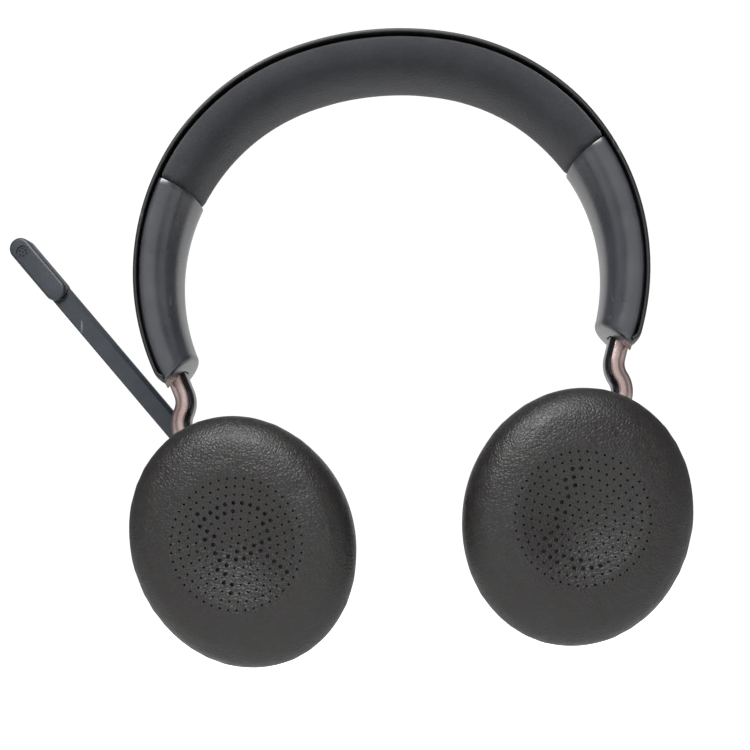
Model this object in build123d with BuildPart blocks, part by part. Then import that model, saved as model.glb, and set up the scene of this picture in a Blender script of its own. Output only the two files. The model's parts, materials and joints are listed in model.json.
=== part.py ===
from build123d import *

import os
from math import cos, radians, sin

# Wireless office headset: padded headband, two sliding arms, two swivelling on-ear cups
# and a microphone boom on the wearer's right cup.
#
# Frame: millimetres. +Z up to the crown, -Y to the wearer's front, +X to the wearer's left.
# The origin is the point of the crown cushion that rests on the head.
# The cups are folded flat, so both ear cushions face -Y and the boom is stowed upwards.

# Headband. Its edge line is a crown arc that runs into a tighter arc on each side.
band_width = 30.0
band_end_width = 22.0
band_depth = 11.5
crown_radius = 93.2
side_radius = 71.0
crown_half_angle = 15.4
shell_thickness = 1.8
shell_rise = 1.4
seam_angle = 60.0
seam_gap = 0.3
shell_end_angle = 111.0
taper_start_z = -15.0
taper_end_z = -88.0

# Ear cups. The left cup is centred here and its long axis leans outwards by the lean angle.
cup_x = 47.9
cup_z = -135.9
lean = 18.0
cushion_width = 66.1
cushion_height = 75.7
cushion_front = -30.0
cushion_back = -13.3
body_radius = 28.5
body_wall = 1.8
body_front = -8.0
body_back = 9.0
flange_front = -13.0
flange_floor = -9.5
flange_size = (31.5, 36.0)
flange_pocket = (30.4, 34.8)
hub_radius = 19.9
hub_back = 14.6

# Sliding arm. The slider and the cup swivel share one axis, parallel to the cup's long axis.
axis_offset = 3.9
bar_width = 6.0
bar_depth = 8.0
bar_top = 78.0
bend_top = 49.5
bend_bottom = 38.3
bend_offset = 4.8
strip_width = 1.4
foot_bottom = 33.0
foot_height = 4.8
foot_fillet = 0.8
pin_radius = 2.0
running_gap = 0.05
tilt_height = 20.0
tilt_pin_radius = 1.25
knuckle_radius = 4.5
knuckle_bottom = 13.5
knuckle_top = 24.0

# Microphone boom, held by a ring that turns on the right cup's hub.
boom_angle = 18.2
boom_length = 126.0
boom_width = 6.6
boom_front = 11.5
boom_back = 14.4
strap_bevels = (1.2, 0.5)
ring_front = 9.7
ring_outer = 27.8
ring_fillet = 0.5
ring_gap = 0.08
tip_length = 25.0
tip_width = 7.2
tip_front = 9.3
grille_radius = 2.15
grille_inset = 5.3

# Values worked out from the dimensions above.
crown_z = band_depth - crown_radius
side_x = (crown_radius - side_radius) * sin(radians(crown_half_angle))
side_z = crown_z + (crown_radius - side_radius) * cos(radians(crown_half_angle))
lean_cos = cos(radians(lean))
lean_sin = sin(radians(lean))
up_axis = Vector(lean_sin, 0, lean_cos)
left_cup = Plane(origin=(cup_x, 0, cup_z), x_dir=(-lean_cos, 0, lean_sin), z_dir=(0, 1, 0))
right_cup = Plane(origin=(-cup_x, 0, cup_z), x_dir=(-lean_cos, 0, -lean_sin), z_dir=(0, 1, 0))
axis_x = -axis_offset
shell_inner_radius = side_radius + shell_rise - shell_thickness
arm_clear_radius = shell_inner_radius - 0.25

os.makedirs("parts", exist_ok=True)


def write(piece, name):
    """Label one finished piece and write it to its own STEP file."""
    piece.part.label = name
    export_step(piece.part, f"parts/{name}.step")


def write_pair(piece, name):
    """Write a left-hand piece, and its mirror image as the right-hand one."""
    write(piece, f"left_{name}")
    with BuildPart() as twin:
        mirror(piece.part, about=Plane.YZ)
    write(twin, f"right_{name}")


def side_arc(start, stop):
    """Edge line of the band's left side between two angles from the vertical."""
    return CenterArc((side_x, side_z), side_radius, 90 - start, start - stop)


def crown_arcs(reach):
    """Edge line over the crown, from one side to the other, to the given angle each way."""
    turn = reach - crown_half_angle
    CenterArc((-side_x, side_z), side_radius, 90 + reach, -turn)
    CenterArc((0, crown_z), crown_radius, 90 + crown_half_angle, -2 * crown_half_angle)
    CenterArc((side_x, side_z), side_radius, 90 - crown_half_angle, -turn)


def start_plane(path):
    """Section plane at a path's start: x across the band, y outwards."""
    return Plane(origin=path.line @ 0, x_dir=(0, 1, 0), z_dir=path.line % 0)


def on_side(angle, inset, across=0.0):
    """Plane on the band's left side, z outwards, at a depth below the edge line."""
    outward = Vector(sin(radians(angle)), 0, cos(radians(angle)))
    centre = Vector(side_x, across, side_z)
    return Plane(origin=centre + outward * (side_radius - inset), x_dir=(0, 1, 0), z_dir=outward)


def along_axis(height):
    """Plane square to the left cup's swivel axis at a height above the cup's centre."""
    centre = left_cup.from_local_coords((axis_x, height, 0))
    return Plane(origin=centre, x_dir=left_cup.x_dir, z_dir=up_axis)


def taper_outline():
    """Side view of the band: full width at the crown, narrower towards the ends."""
    half = band_width / 2
    half_end = band_end_width / 2
    with BuildSketch(Plane.YZ) as outline:
        with BuildLine():
            Polyline(
                (0, 30),
                (half, 30),
                (half, taper_start_z),
                (half_end, taper_end_z),
                (half_end, taper_end_z - 30),
                (0, taper_end_z - 30),
            )
            mirror(about=Plane.YZ)
        make_face()
    return outline.sketch


def padded_section(plane, top, top_rise):
    """Section of the band's inner side: a shallow bulge towards the head."""
    half = band_width / 2
    with BuildSketch(plane) as section:
        with BuildLine():
            ThreePointArc((-half, -top), (0, top_rise - top), (half, -top))
            Line((half, -top), (half, -top - 1))
            EllipticalCenterArc((0, -top - 1), half, band_depth - top - 1, start_angle=0, arc_size=-180)
            Line((-half, -top - 1), (-half, -top))
        make_face()
    return section.sketch


# ---------------------------------------------------------------- headband

screw_angles = (80.0, 92.0)
screw_across = 5.3
screw_radius = 0.8

# Outer shell: a thin crowned strip that runs the whole way from end to end.
with BuildPart() as headband_shell:
    with BuildLine(Plane.XZ) as shell_line:
        crown_arcs(shell_end_angle)
    half = band_width / 2
    with BuildSketch(start_plane(shell_line)):
        with BuildLine():
            ThreePointArc((-half, 0), (0, shell_rise), (half, 0))
            Line((half, 0), (half, -shell_thickness))
            ThreePointArc(
                (half, -shell_thickness),
                (0, shell_rise - shell_thickness),
                (-half, -shell_thickness),
            )
            Line((-half, -shell_thickness), (-half, 0))
        make_face()
    sweep(path=shell_line.line)
    extrude(taper_outline(), amount=100, both=True, mode=Mode.INTERSECT)
    for angle in screw_angles:
        for across in (-screw_across, screw_across):
            with BuildSketch(on_side(angle, 2.5, across)):
                Circle(screw_radius)
            blind_hole = extrude(amount=1.9, mode=Mode.SUBTRACT)
            mirror(blind_hole, about=Plane.YZ, mode=Mode.SUBTRACT)
write(headband_shell, "headband_shell")

# Spring strip of flat steel under the shell, which gives the band its grip.
spring_top = 0.7
spring_thickness = 0.8
spring_width = 12.4
spring_reach = 72.0
ribbon_width = 3.2
ribbon_thickness = 0.3
with BuildPart() as headband_spring:
    with BuildLine(Plane.XZ) as spring_line:
        crown_arcs(spring_reach)
    with BuildSketch(start_plane(spring_line)):
        with Locations((0, -spring_top - spring_thickness / 2)):
            Rectangle(spring_width, spring_thickness)
    sweep(path=spring_line.line)
write(headband_spring, "headband_spring")

# Flat ribbon cable along the spring's inner face, joining the two cups.
with BuildPart() as ribbon_cable:
    with BuildLine(Plane.XZ) as ribbon_line:
        crown_arcs(spring_reach)
    with BuildSketch(start_plane(ribbon_line)):
        with Locations((0, -spring_top - spring_thickness - ribbon_thickness / 2)):
            Rectangle(ribbon_width, ribbon_thickness)
    sweep(path=ribbon_line.line)
write(ribbon_cable, "ribbon_cable")

# Padded crown cushion, covered in soft fabric. Its top is almost flat and clears the shell.
cushion_top_rise = 0.05
cushion_clearance = 0.3
with BuildPart() as crown_cushion:
    with BuildLine(Plane.XZ) as cushion_line:
        crown_arcs(seam_angle)
    cushion_section = padded_section(
        start_plane(cushion_line),
        shell_thickness + cushion_clearance,
        cushion_top_rise,
    )
    sweep(cushion_section, path=cushion_line.line)
    extrude(taper_outline(), amount=100, both=True, mode=Mode.INTERSECT)
write(crown_cushion, "crown_cushion")

# End covers: moulded shrouds that hold the sliders. The mouth is cut at a slant and the arm
# passes through it along the slider axis.
cavity_depth = 9.8
cavity_half = 6.5
cavity_end = 107.0
mouth_inner_angle = 109.0
mouth_outer_angle = 113.5
mouth_gap = 0.25
with BuildPart() as end_cover:
    with BuildLine(Plane.XZ) as cover_line:
        side_arc(seam_angle + seam_gap, mouth_outer_angle + 3)
    sweep(padded_section(start_plane(cover_line), shell_thickness, shell_rise), path=cover_line.line)
    extrude(taper_outline(), amount=100, both=True, mode=Mode.INTERSECT)
    mouth_inner = on_side(mouth_inner_angle, band_depth).origin
    mouth_outer = on_side(mouth_outer_angle, 0).origin
    mouth_slope = mouth_outer - mouth_inner
    mouth_plane = Plane(origin=mouth_inner, x_dir=mouth_slope, z_dir=(mouth_slope.Z, 0, -mouth_slope.X))
    split(bisect_by=mouth_plane, keep=Keep.BOTTOM)
    with BuildLine(Plane.XZ) as cavity_line:
        side_arc(seam_angle, cavity_end)
    with BuildSketch(start_plane(cavity_line)):
        with Locations((0, -cavity_depth / 2 + 1)):
            Rectangle(2 * cavity_half, cavity_depth + 2)
    sweep(path=cavity_line.line, mode=Mode.SUBTRACT)
    with BuildSketch(along_axis(46)):
        RectangleRounded(bar_width + 2 * mouth_gap, bar_depth + 2 * mouth_gap, 2.9)
    extrude(amount=18, mode=Mode.SUBTRACT)
write_pair(end_cover, "end_cover")

# Slider guide: two rails with a bridge behind the mouth, screwed to the shell.
rail_inner = bar_depth / 2 + 0.3
rail_outer = cavity_half - 0.2
rail_top = 2.0
rail_depth = 6.0
rail_start = 74.0
rail_end = 106.8
bridge_start = 103.0
bridge_top = 7.6
bridge_thickness = 2.0
with BuildPart() as slider_guide:
    with BuildLine(Plane.XZ) as rail_line:
        side_arc(rail_start, rail_end)
    with BuildSketch(start_plane(rail_line)):
        for sign in (-1, 1):
            with Locations((sign * (rail_inner + rail_outer) / 2, -(rail_top + rail_depth) / 2)):
                Rectangle(rail_outer - rail_inner, rail_depth - rail_top)
    sweep(path=rail_line.line)
    with BuildLine(Plane.XZ) as bridge_line:
        side_arc(bridge_start, rail_end)
    with BuildSketch(start_plane(bridge_line)):
        with Locations((0, -bridge_top - bridge_thickness / 2)):
            Rectangle(2 * rail_outer, bridge_thickness)
        for sign in (-1, 1):
            with Locations((sign * (rail_inner + rail_outer) / 2, -(rail_depth + bridge_top) / 2)):
                Rectangle(rail_outer - rail_inner, bridge_top - rail_depth + 0.2)
    sweep(path=bridge_line.line)
    for angle in screw_angles:
        for across in (-screw_across, screw_across):
            with BuildSketch(on_side(angle, 8.0, across)):
                Circle(screw_radius)
            extrude(amount=8.0, mode=Mode.SUBTRACT)
write_pair(slider_guide, "slider_guide")

# Guide screws, four on each side.
screw_head_radius = 1.15
screw_head = 0.75
with BuildPart() as guide_screws:
    for angle in screw_angles:
        for across in (-screw_across, screw_across):
            with BuildSketch(on_side(angle, rail_depth + screw_head + running_gap, across)):
                Circle(screw_head_radius)
            extrude(amount=screw_head)
            with BuildSketch(on_side(angle, rail_depth, across)):
                Circle(screw_radius)
            extrude(amount=rail_depth - 1.0)
write_pair(guide_screws, "guide_screws")

# Detent springs: leaf springs on the rails that click into the slider tongue's notches.
leaf_start = 77.0
leaf_end = 87.0
leaf_thickness = 0.3
leaf_depth = 2.6
leaf_inset = 3.6
bump_angle = 82.0
bump_radius = 0.7
with BuildPart() as detent_springs:
    with BuildLine(Plane.XZ) as leaf_line:
        side_arc(leaf_start, leaf_end)
    with BuildSketch(start_plane(leaf_line)):
        with Locations((rail_inner - leaf_thickness / 2, -leaf_inset)):
            Rectangle(leaf_thickness, leaf_depth)
    leaf = sweep(path=leaf_line.line)
    bump_plane = on_side(bump_angle, leaf_inset + 1, rail_inner - leaf_thickness)
    with BuildSketch(bump_plane):
        Circle(bump_radius)
        Rectangle(2 * bump_radius, 2 * bump_radius, align=(Align.MIN, Align.CENTER), mode=Mode.SUBTRACT)
    bump = extrude(amount=2.0)
    mirror(leaf, about=Plane.YZ)
    mirror(bump, about=Plane.YZ)
write(detent_springs, "detent_springs")

# ---------------------------------------------------------------- sliding arms


def bar_path():
    """Centre line of the arm: straight down the axis, then a bend outwards to the foot."""
    with BuildLine(left_cup) as path:
        shank = Line((axis_x, bar_top), (axis_x, bend_top))
        middle = (axis_x - bend_offset / 2, (bend_top + bend_bottom) / 2)
        first = TangentArc(shank @ 1, middle, tangent=shank % 1)
        second = TangentArc(first @ 1, (axis_x - bend_offset, bend_bottom), tangent=first % 1)
        Line(second @ 1, (axis_x - bend_offset, bend_bottom - 2.5))
    return path


# Arm: an anodised bar with a D-shaped section, relieved on its outer side where it slides
# under the curved shell, and a foot that carries the swivel pin.
with BuildPart() as arm:
    arm_line = bar_path()
    with BuildSketch(Plane(origin=arm_line.line @ 0, x_dir=left_cup.x_dir, z_dir=-up_axis)):
        RectangleRounded(bar_width, bar_depth, 2.8)
        with Locations((bar_width / 2, 0)):
            Rectangle(2 * strip_width, 2 * bar_depth, mode=Mode.SUBTRACT)
    sweep(path=arm_line.line)
    with BuildSketch(along_axis(foot_bottom)):
        with Locations((-(bend_offset + bar_width / 2 - bar_depth / 2) / 2, 0)):
            SlotOverall(bend_offset + bar_width / 2 + bar_depth / 2, bar_depth)
    foot = extrude(amount=foot_height)
    with BuildSketch(Plane.XZ.offset(-10)):
        with Locations((side_x, side_z)):
            Circle(side_radius + 20)
            Circle(arm_clear_radius, mode=Mode.SUBTRACT)
        with Locations((side_x, side_z + 58)):
            Rectangle(400, 160, mode=Mode.INTERSECT)
    extrude(amount=20, mode=Mode.SUBTRACT)
    fillet(arm.edges().group_by(Axis(left_cup.origin, up_axis))[0], foot_fillet)
    with BuildSketch(along_axis(foot_bottom)):
        Circle(pin_radius)
    extrude(amount=3.5, mode=Mode.SUBTRACT)

# Gloss insert along the arm's head side.
with BuildPart() as arm_strip:
    strip_line = bar_path()
    with BuildSketch(Plane(origin=strip_line.line @ 0, x_dir=left_cup.x_dir, z_dir=-up_axis)):
        RectangleRounded(bar_width, bar_depth, 2.8)
        with Locations((bar_width / 2, 0)):
            Rectangle(2 * strip_width, 2 * bar_depth, mode=Mode.INTERSECT)
    sweep(path=strip_line.line)
    with BuildSketch(along_axis(foot_bottom)):
        Rectangle(60, 60)
    extrude(amount=foot_height, mode=Mode.SUBTRACT)
write_pair(arm_strip, "arm_strip")

# Slider tongue: a curved steel strip let into the top of the bar, notched along its edges.
tongue_thickness = 2.0
tongue_half = 3.0
tongue_start = 81.0
tongue_end = 95.0
notch_start = 82.0
notch_step = 2.0
notch_count = 6
notch_radius = 0.6
with BuildPart() as slider_tongue:
    tongue_inset = side_radius - arm_clear_radius
    with BuildLine(Plane.XZ) as tongue_line:
        side_arc(tongue_start, tongue_end)
    with BuildSketch(start_plane(tongue_line)):
        with Locations((0, -tongue_inset - tongue_thickness / 2)):
            Rectangle(2 * tongue_half, tongue_thickness)
    sweep(path=tongue_line.line)
    for step in range(notch_count):
        notch_plane = on_side(notch_start + notch_step * step, tongue_inset + tongue_thickness + 1)
        with BuildSketch(notch_plane):
            with Locations((tongue_half, 0), (-tongue_half, 0)):
                Circle(notch_radius)
        extrude(amount=tongue_thickness + 2, mode=Mode.SUBTRACT)
with BuildPart() as slotted_arm:
    add(arm.part)
    add(slider_tongue.part, mode=Mode.SUBTRACT)
write_pair(slider_tongue, "slider_tongue")
write_pair(slotted_arm, "arm")

# Swivel pin, pressed into the foot, with a collar that keeps the knuckle on.
with BuildPart() as swivel_pin:
    with BuildSketch(along_axis(knuckle_bottom - 1.5)):
        Circle(3.2)
    extrude(amount=1.2)
    with BuildSketch(along_axis(knuckle_bottom - 0.3)):
        Circle(pin_radius)
    extrude(amount=foot_bottom + 3.5 - knuckle_bottom + 0.3)
write_pair(swivel_pin, "swivel_pin")

# ---------------------------------------------------------------- knuckles

tilt_plane = Plane(
    origin=left_cup.from_local_coords((axis_x, tilt_height, 0)),
    x_dir=(0, 1, 0),
    z_dir=left_cup.x_dir,
)
stub_inner = 2.6
stub_outer = 7.3

# Knuckle: turns on the swivel pin and carries the two tilt pins.
with BuildPart() as knuckle:
    with BuildSketch(along_axis(knuckle_bottom)):
        Circle(knuckle_radius)
        Circle(pin_radius + running_gap, mode=Mode.SUBTRACT)
    extrude(amount=knuckle_top - knuckle_bottom)
    for direction in (-1, 1):
        with BuildSketch(tilt_plane.offset(direction * stub_inner)):
            Circle(tilt_pin_radius)
        extrude(amount=direction * knuckle_radius, mode=Mode.SUBTRACT)
write_pair(knuckle, "knuckle")

# Tilt pins: two stubs that turn in the housing's lugs.
with BuildPart() as tilt_pins:
    for direction in (-1, 1):
        with BuildSketch(tilt_plane.offset(direction * stub_inner)):
            Circle(tilt_pin_radius)
        extrude(amount=direction * (stub_outer - stub_inner))
write_pair(tilt_pins, "tilt_pins")

# ---------------------------------------------------------------- ear cups

dish_depth = 3.5
dish_radius = 64.0
lug_inner = knuckle_radius + 0.4
lug_thickness = 2.5
lug_size = (9.7, 5.0)
lug_shift = 2.35
screw_spacing = (18.0, 60.0)
cup_screw_radius = 0.8
peg_spots = ((25, 0), (-25, 0), (0, 29), (0, -29))
peg_radius = 1.5
carrier_front = -13.0
carrier_back = -11.5
speaker_radius = 19.0
radial_plane = Plane(origin=left_cup.origin, x_dir=left_cup.x_dir, z_dir=-up_axis)
cup_axis = Axis(left_cup.origin, (0, 1, 0))

# Ear cushion: a soft oval pad with a dished front.
with BuildPart() as cushion:
    with BuildSketch(left_cup.offset(cushion_front)):
        Ellipse(cushion_width / 2, cushion_height / 2)
    extrude(amount=cushion_back - cushion_front)
    fillet(cushion.edges().group_by(Axis.Y)[0], 9)
    fillet(cushion.edges().group_by(Axis.Y)[-1], 5)
    with Locations(left_cup.offset(cushion_front + dish_depth - dish_radius).origin):
        Sphere(dish_radius, mode=Mode.SUBTRACT)
write_pair(cushion, "cushion")

# Cushion carrier: the stiff ring that snaps the cushion onto the baffle with four pegs.
with BuildPart() as cushion_carrier:
    with BuildSketch(left_cup.offset(carrier_front)):
        Ellipse(30.0, 34.5)
        Ellipse(21.0, 24.0, mode=Mode.SUBTRACT)
    extrude(amount=carrier_back - carrier_front)
    with BuildSketch(left_cup.offset(carrier_back)):
        with Locations(*peg_spots):
            Circle(peg_radius)
    extrude(amount=1.5)
write_pair(cushion_carrier, "cushion_carrier")

# Acoustic cloth stretched over the speaker.
with BuildPart() as acoustic_cloth:
    with BuildSketch(left_cup.offset(carrier_back - 0.3)):
        Ellipse(20.6, 23.6)
    extrude(amount=0.3)
write_pair(acoustic_cloth, "acoustic_cloth")

# Baffle: the plate that holds the speaker, screwed to the housing at four corners.
with BuildPart() as baffle:
    with BuildSketch(left_cup.offset(carrier_back)):
        Ellipse(30.2, 34.6)
        Circle(speaker_radius + 0.2, mode=Mode.SUBTRACT)
        with Locations(*peg_spots):
            Circle(peg_radius + running_gap, mode=Mode.SUBTRACT)
        with GridLocations(*screw_spacing, 2, 2):
            Circle(cup_screw_radius, mode=Mode.SUBTRACT)
    extrude(amount=flange_floor - carrier_back)
    with BuildSketch(left_cup.offset(carrier_back)):
        with GridLocations(*screw_spacing, 2, 2):
            Circle(1.7)
    extrude(amount=1.0, mode=Mode.SUBTRACT)
    with BuildSketch(left_cup.offset(flange_floor)):
        Circle(speaker_radius + 2)
        Circle(speaker_radius - 1.2, mode=Mode.SUBTRACT)
    extrude(amount=1.0)
write_pair(baffle, "baffle")

# Cup screws.
with BuildPart() as cup_screws:
    with BuildSketch(left_cup.offset(carrier_back)):
        with GridLocations(*screw_spacing, 2, 2):
            Circle(1.7)
    extrude(amount=1.0)
    with BuildSketch(left_cup.offset(carrier_back + 1.0)):
        with GridLocations(*screw_spacing, 2, 2):
            Circle(cup_screw_radius)
    extrude(amount=4.2)
write_pair(cup_screws, "cup_screws")

# Speaker: basket and magnet, turned about the cup's centre line.
with BuildPart() as speaker_frame:
    with BuildSketch(radial_plane):
        with BuildLine():
            Polyline(
                (speaker_radius - 2.5, -11.3),
                (speaker_radius, -11.3),
                (speaker_radius, flange_floor),
                (speaker_radius - 1.5, flange_floor),
                (speaker_radius - 1.5, -8.0),
                (9.0, -6.0),
                (9.0, -1.5),
                (0, -1.5),
                (0, -8.2),
                (speaker_radius - 2.5, -8.2),
                close=True,
            )
        make_face()
    revolve(axis=cup_axis)
write_pair(speaker_frame, "speaker_frame")

# Speaker cone with its centre dome.
with BuildPart() as speaker_cone:
    with BuildSketch(radial_plane):
        with BuildLine():
            Polyline(
                (0, -9.7),
                (5.0, -9.1),
                (15.8, -10.8),
                (16.5, -10.8),
                (16.5, -10.4),
                (15.9, -10.4),
                (5.0, -8.7),
                (0, -9.3),
                close=True,
            )
        make_face()
    revolve(axis=cup_axis)
write_pair(speaker_cone, "speaker_cone")


def housing():
    """Left cup housing without the openings that differ from side to side."""
    with BuildPart() as shell:
        with BuildSketch(left_cup.offset(flange_front)):
            Ellipse(*flange_size)
        extrude(amount=body_front - flange_front)
        fillet(shell.edges().group_by(Axis.Y)[-1], 1.0)
        fillet(shell.edges().group_by(Axis.Y)[0], 0.4)
        with BuildSketch(left_cup.offset(body_front)):
            Circle(body_radius)
        extrude(amount=body_back - body_front)
        fillet(shell.edges().group_by(Axis.Y)[-1], 1.2)
        with BuildSketch(left_cup.offset(body_back)):
            Circle(hub_radius)
        extrude(amount=hub_back - body_back)
        with BuildSketch(left_cup.offset(flange_front)):
            Ellipse(*flange_pocket)
        extrude(amount=flange_floor - flange_front, mode=Mode.SUBTRACT)
        with BuildSketch(left_cup.offset(flange_floor)):
            Circle(body_radius - body_wall)
        extrude(amount=body_back - body_wall - flange_floor, mode=Mode.SUBTRACT)
        with BuildSketch(left_cup.offset(body_back - body_wall)):
            Circle(hub_radius - 2.3)
        extrude(amount=hub_back - body_back + body_wall, mode=Mode.SUBTRACT)
        # Slot in the top wall for the swivel pin.
        with BuildSketch(along_axis(knuckle_top)):
            RectangleRounded(2 * pin_radius + 0.8, 7.2, 1.5)
        extrude(amount=6, mode=Mode.SUBTRACT)
        # Lugs that hold the tilt pins.
        for direction in (-1, 1):
            with BuildSketch(tilt_plane.offset(direction * lug_inner)):
                with Locations((lug_shift, 0)):
                    Rectangle(*lug_size)
                Circle(tilt_pin_radius + running_gap, mode=Mode.SUBTRACT)
            extrude(amount=direction * lug_thickness)
        # Bosses for the cup screws.
        with BuildSketch(left_cup.offset(body_front)):
            with GridLocations(*screw_spacing, 2, 2):
                Circle(1.7)
        extrude(amount=2.4)
        with BuildSketch(left_cup.offset(flange_floor)):
            with GridLocations(*screw_spacing, 2, 2):
                Circle(cup_screw_radius)
        extrude(amount=3.2, mode=Mode.SUBTRACT)
    return shell


def rim_plane(angle, depth=0.0):
    """Plane on the right cup's round body, z outwards, x along the rim."""
    turn = radians(angle)
    outward = right_cup.x_dir * cos(turn) + right_cup.y_dir * sin(turn)
    along = right_cup.y_dir * cos(turn) - right_cup.x_dir * sin(turn)
    centre = right_cup.origin + outward * (body_radius - depth) + Vector(0, rim_depth, 0)
    return Plane(origin=centre, x_dir=along, z_dir=outward)


rim_depth = 1.0
volume_angles = {"volume_up": -28.0, "volume_down": -50.0}
volume_size = (6.8, 3.2)
key_gap = 0.15
switch_angle = -128.0
switch_travel = 3.0
switch_size = (3.6, 2.8)
switch_plate = (6.5, 4.4)
socket_size = (9.0, 3.2)
socket_centre = right_cup.from_local_coords((0, -body_radius + 0.3, rim_depth))
socket_plane = Plane(
    origin=socket_centre,
    x_dir=right_cup.x_dir,
    z_dir=right_cup.y_dir,
)

# Left housing, with a window for the charging contacts.
left_bottom = left_cup.from_local_coords((0, -body_radius - 1, 0))
contact_plane = Plane(origin=left_bottom, x_dir=left_cup.x_dir, z_dir=left_cup.y_dir)
with BuildPart() as left_housing:
    add(housing().part)
    with BuildSketch(contact_plane):
        with Locations((4, -rim_depth), (-4, -rim_depth)):
            Circle(1.2)
    extrude(amount=5, mode=Mode.SUBTRACT)
write(left_housing, "left_cup_housing")

# Charging contacts in the left housing.
with BuildPart() as charging_contacts:
    with BuildSketch(contact_plane.offset(0.7)):
        with Locations((4, -rim_depth), (-4, -rim_depth)):
            Circle(1.2)
    extrude(amount=2.6)
write(charging_contacts, "charging_contacts")

# Right housing, with openings for the keys, the power switch and the charging socket.
with BuildPart() as right_housing:
    mirror(housing().part, about=Plane.YZ)
    for angle in volume_angles.values():
        with BuildSketch(rim_plane(angle, 4)):
            SlotOverall(volume_size[0] + 2 * key_gap, volume_size[1] + 2 * key_gap)
        extrude(amount=6, mode=Mode.SUBTRACT)
    with BuildSketch(rim_plane(switch_angle, 4)):
        SlotOverall(switch_size[0] + switch_travel + 2 * key_gap, switch_size[1] + 2 * key_gap)
    extrude(amount=6, mode=Mode.SUBTRACT)
    with BuildSketch(socket_plane.offset(-2)):
        SlotOverall(*socket_size)
    extrude(amount=6, mode=Mode.SUBTRACT)
write(right_housing, "right_cup_housing")

# Volume keys on the right cup's rim, each kept in by a flange behind the wall.
for name, angle in volume_angles.items():
    with BuildPart() as volume_key:
        with BuildSketch(rim_plane(angle, 2.4)):
            SlotOverall(*volume_size)
        extrude(amount=3.0)
        fillet(volume_key.faces().sort_by(Axis(right_cup.origin, rim_plane(angle).z_dir))[-1].edges(), 0.4)
        with BuildSketch(rim_plane(angle, 3.1)):
            SlotOverall(volume_size[0] + 1.8, volume_size[1] + 1.4)
        extrude(amount=0.7)
    write(volume_key, name)

# Power switch: a small slider on the same rim.
with BuildPart() as power_switch:
    switch_plane = rim_plane(switch_angle, 2.6)
    with BuildSketch(switch_plane):
        with Locations((-switch_travel / 2, 0)):
            SlotOverall(*switch_size)
    extrude(amount=3.3)
    with BuildSketch(switch_plane.offset(-0.7)):
        with Locations((-switch_travel / 2, 0)):
            Rectangle(*switch_plate)
    extrude(amount=0.7)
write(power_switch, "power_switch")

# Charging socket.
with BuildPart() as usb_socket:
    with BuildSketch(socket_plane):
        SlotOverall(*socket_size)
    extrude(amount=6.5)
    with BuildSketch(socket_plane):
        SlotOverall(socket_size[0] - 0.7, socket_size[1] - 0.7)
    extrude(amount=5.5, mode=Mode.SUBTRACT)
    with BuildSketch(socket_plane.offset(0.8)):
        Rectangle(6.6, 0.7)
    extrude(amount=4.9)
write(usb_socket, "usb_socket")

# Circuit boards on the housings' back walls.
with BuildPart() as circuit_board:
    with BuildSketch(left_cup.offset(body_back - body_wall - 1.0)):
        Circle(24)
        with Locations((0, 28)):
            Rectangle(60, 30, mode=Mode.SUBTRACT)
    extrude(amount=1.0)
write_pair(circuit_board, "circuit_board")

# Battery pack in the left cup.
with BuildPart() as battery:
    with BuildSketch(left_cup.offset(1.0)):
        with Locations((0, -8)):
            RectangleRounded(26, 14, 1.5)
    extrude(amount=body_back - body_wall - 2.0)
write(battery, "battery")

# Cup caps: discs that clip into the hubs, with a ring-shaped status light.
cap_front = hub_back
cap_back = 16.6
cap_hole = 11.3
light_radii = (12.2, 13.4)
light_floor = 16.0
with BuildPart() as cup_cap:
    with BuildSketch(left_cup.offset(cap_front)):
        Circle(27.5)
    extrude(amount=cap_back - cap_front)
    fillet(cup_cap.edges().group_by(Axis.Y)[-1], 1.4)
    with BuildSketch(left_cup.offset(cap_front - 2.0)):
        Circle(hub_radius - 2.3)
        Circle(hub_radius - 3.5, mode=Mode.SUBTRACT)
    extrude(amount=2.0)
    with BuildSketch(left_cup.offset(light_floor)):
        Circle(light_radii[1])
        Circle(light_radii[0], mode=Mode.SUBTRACT)
    extrude(amount=2, mode=Mode.SUBTRACT)
    with BuildSketch(left_cup.offset(cap_front)):
        Circle(cap_hole)
    extrude(amount=4, mode=Mode.SUBTRACT)
write_pair(cup_cap, "cup_cap")

with BuildPart() as light_ring:
    with BuildSketch(left_cup.offset(light_floor)):
        Circle(light_radii[1])
        Circle(light_radii[0], mode=Mode.SUBTRACT)
    extrude(amount=0.75)
write_pair(light_ring, "light_ring")


def centre_button(cup):
    """Round push button in the middle of a cup's cap."""
    with BuildPart() as button:
        with BuildSketch(cup.offset(cap_front - 1.3)):
            Circle(12.5)
        extrude(amount=1.0)
        with BuildSketch(cup.offset(cap_front - 0.3)):
            Circle(cap_hole - 0.3)
        extrude(amount=cap_back + 0.5 - cap_front + 0.3)
        fillet(button.edges().group_by(Axis.Y)[-1], 0.8)
    return button


write(centre_button(right_cup), "call_button")
write(centre_button(left_cup), "assistant_button")

def outer_edges(ring):
    """The two outer edges of a ring with the boom ring's outer radius."""
    round_edges = ring.edges().filter_by(GeomType.CIRCLE)
    return round_edges.filter_by(lambda edge: edge.radius > ring_outer - 0.1)


# Trim ring on the left cup, which fills the place that the boom's ring has on the right.
with BuildPart() as trim_ring:
    with BuildSketch(left_cup.offset(body_back)):
        Circle(ring_outer)
        Circle(hub_radius, mode=Mode.SUBTRACT)
    extrude(amount=cap_front - body_back)
    fillet(outer_edges(trim_ring), ring_fillet)
write(trim_ring, "trim_ring")

# ---------------------------------------------------------------- microphone boom

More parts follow.
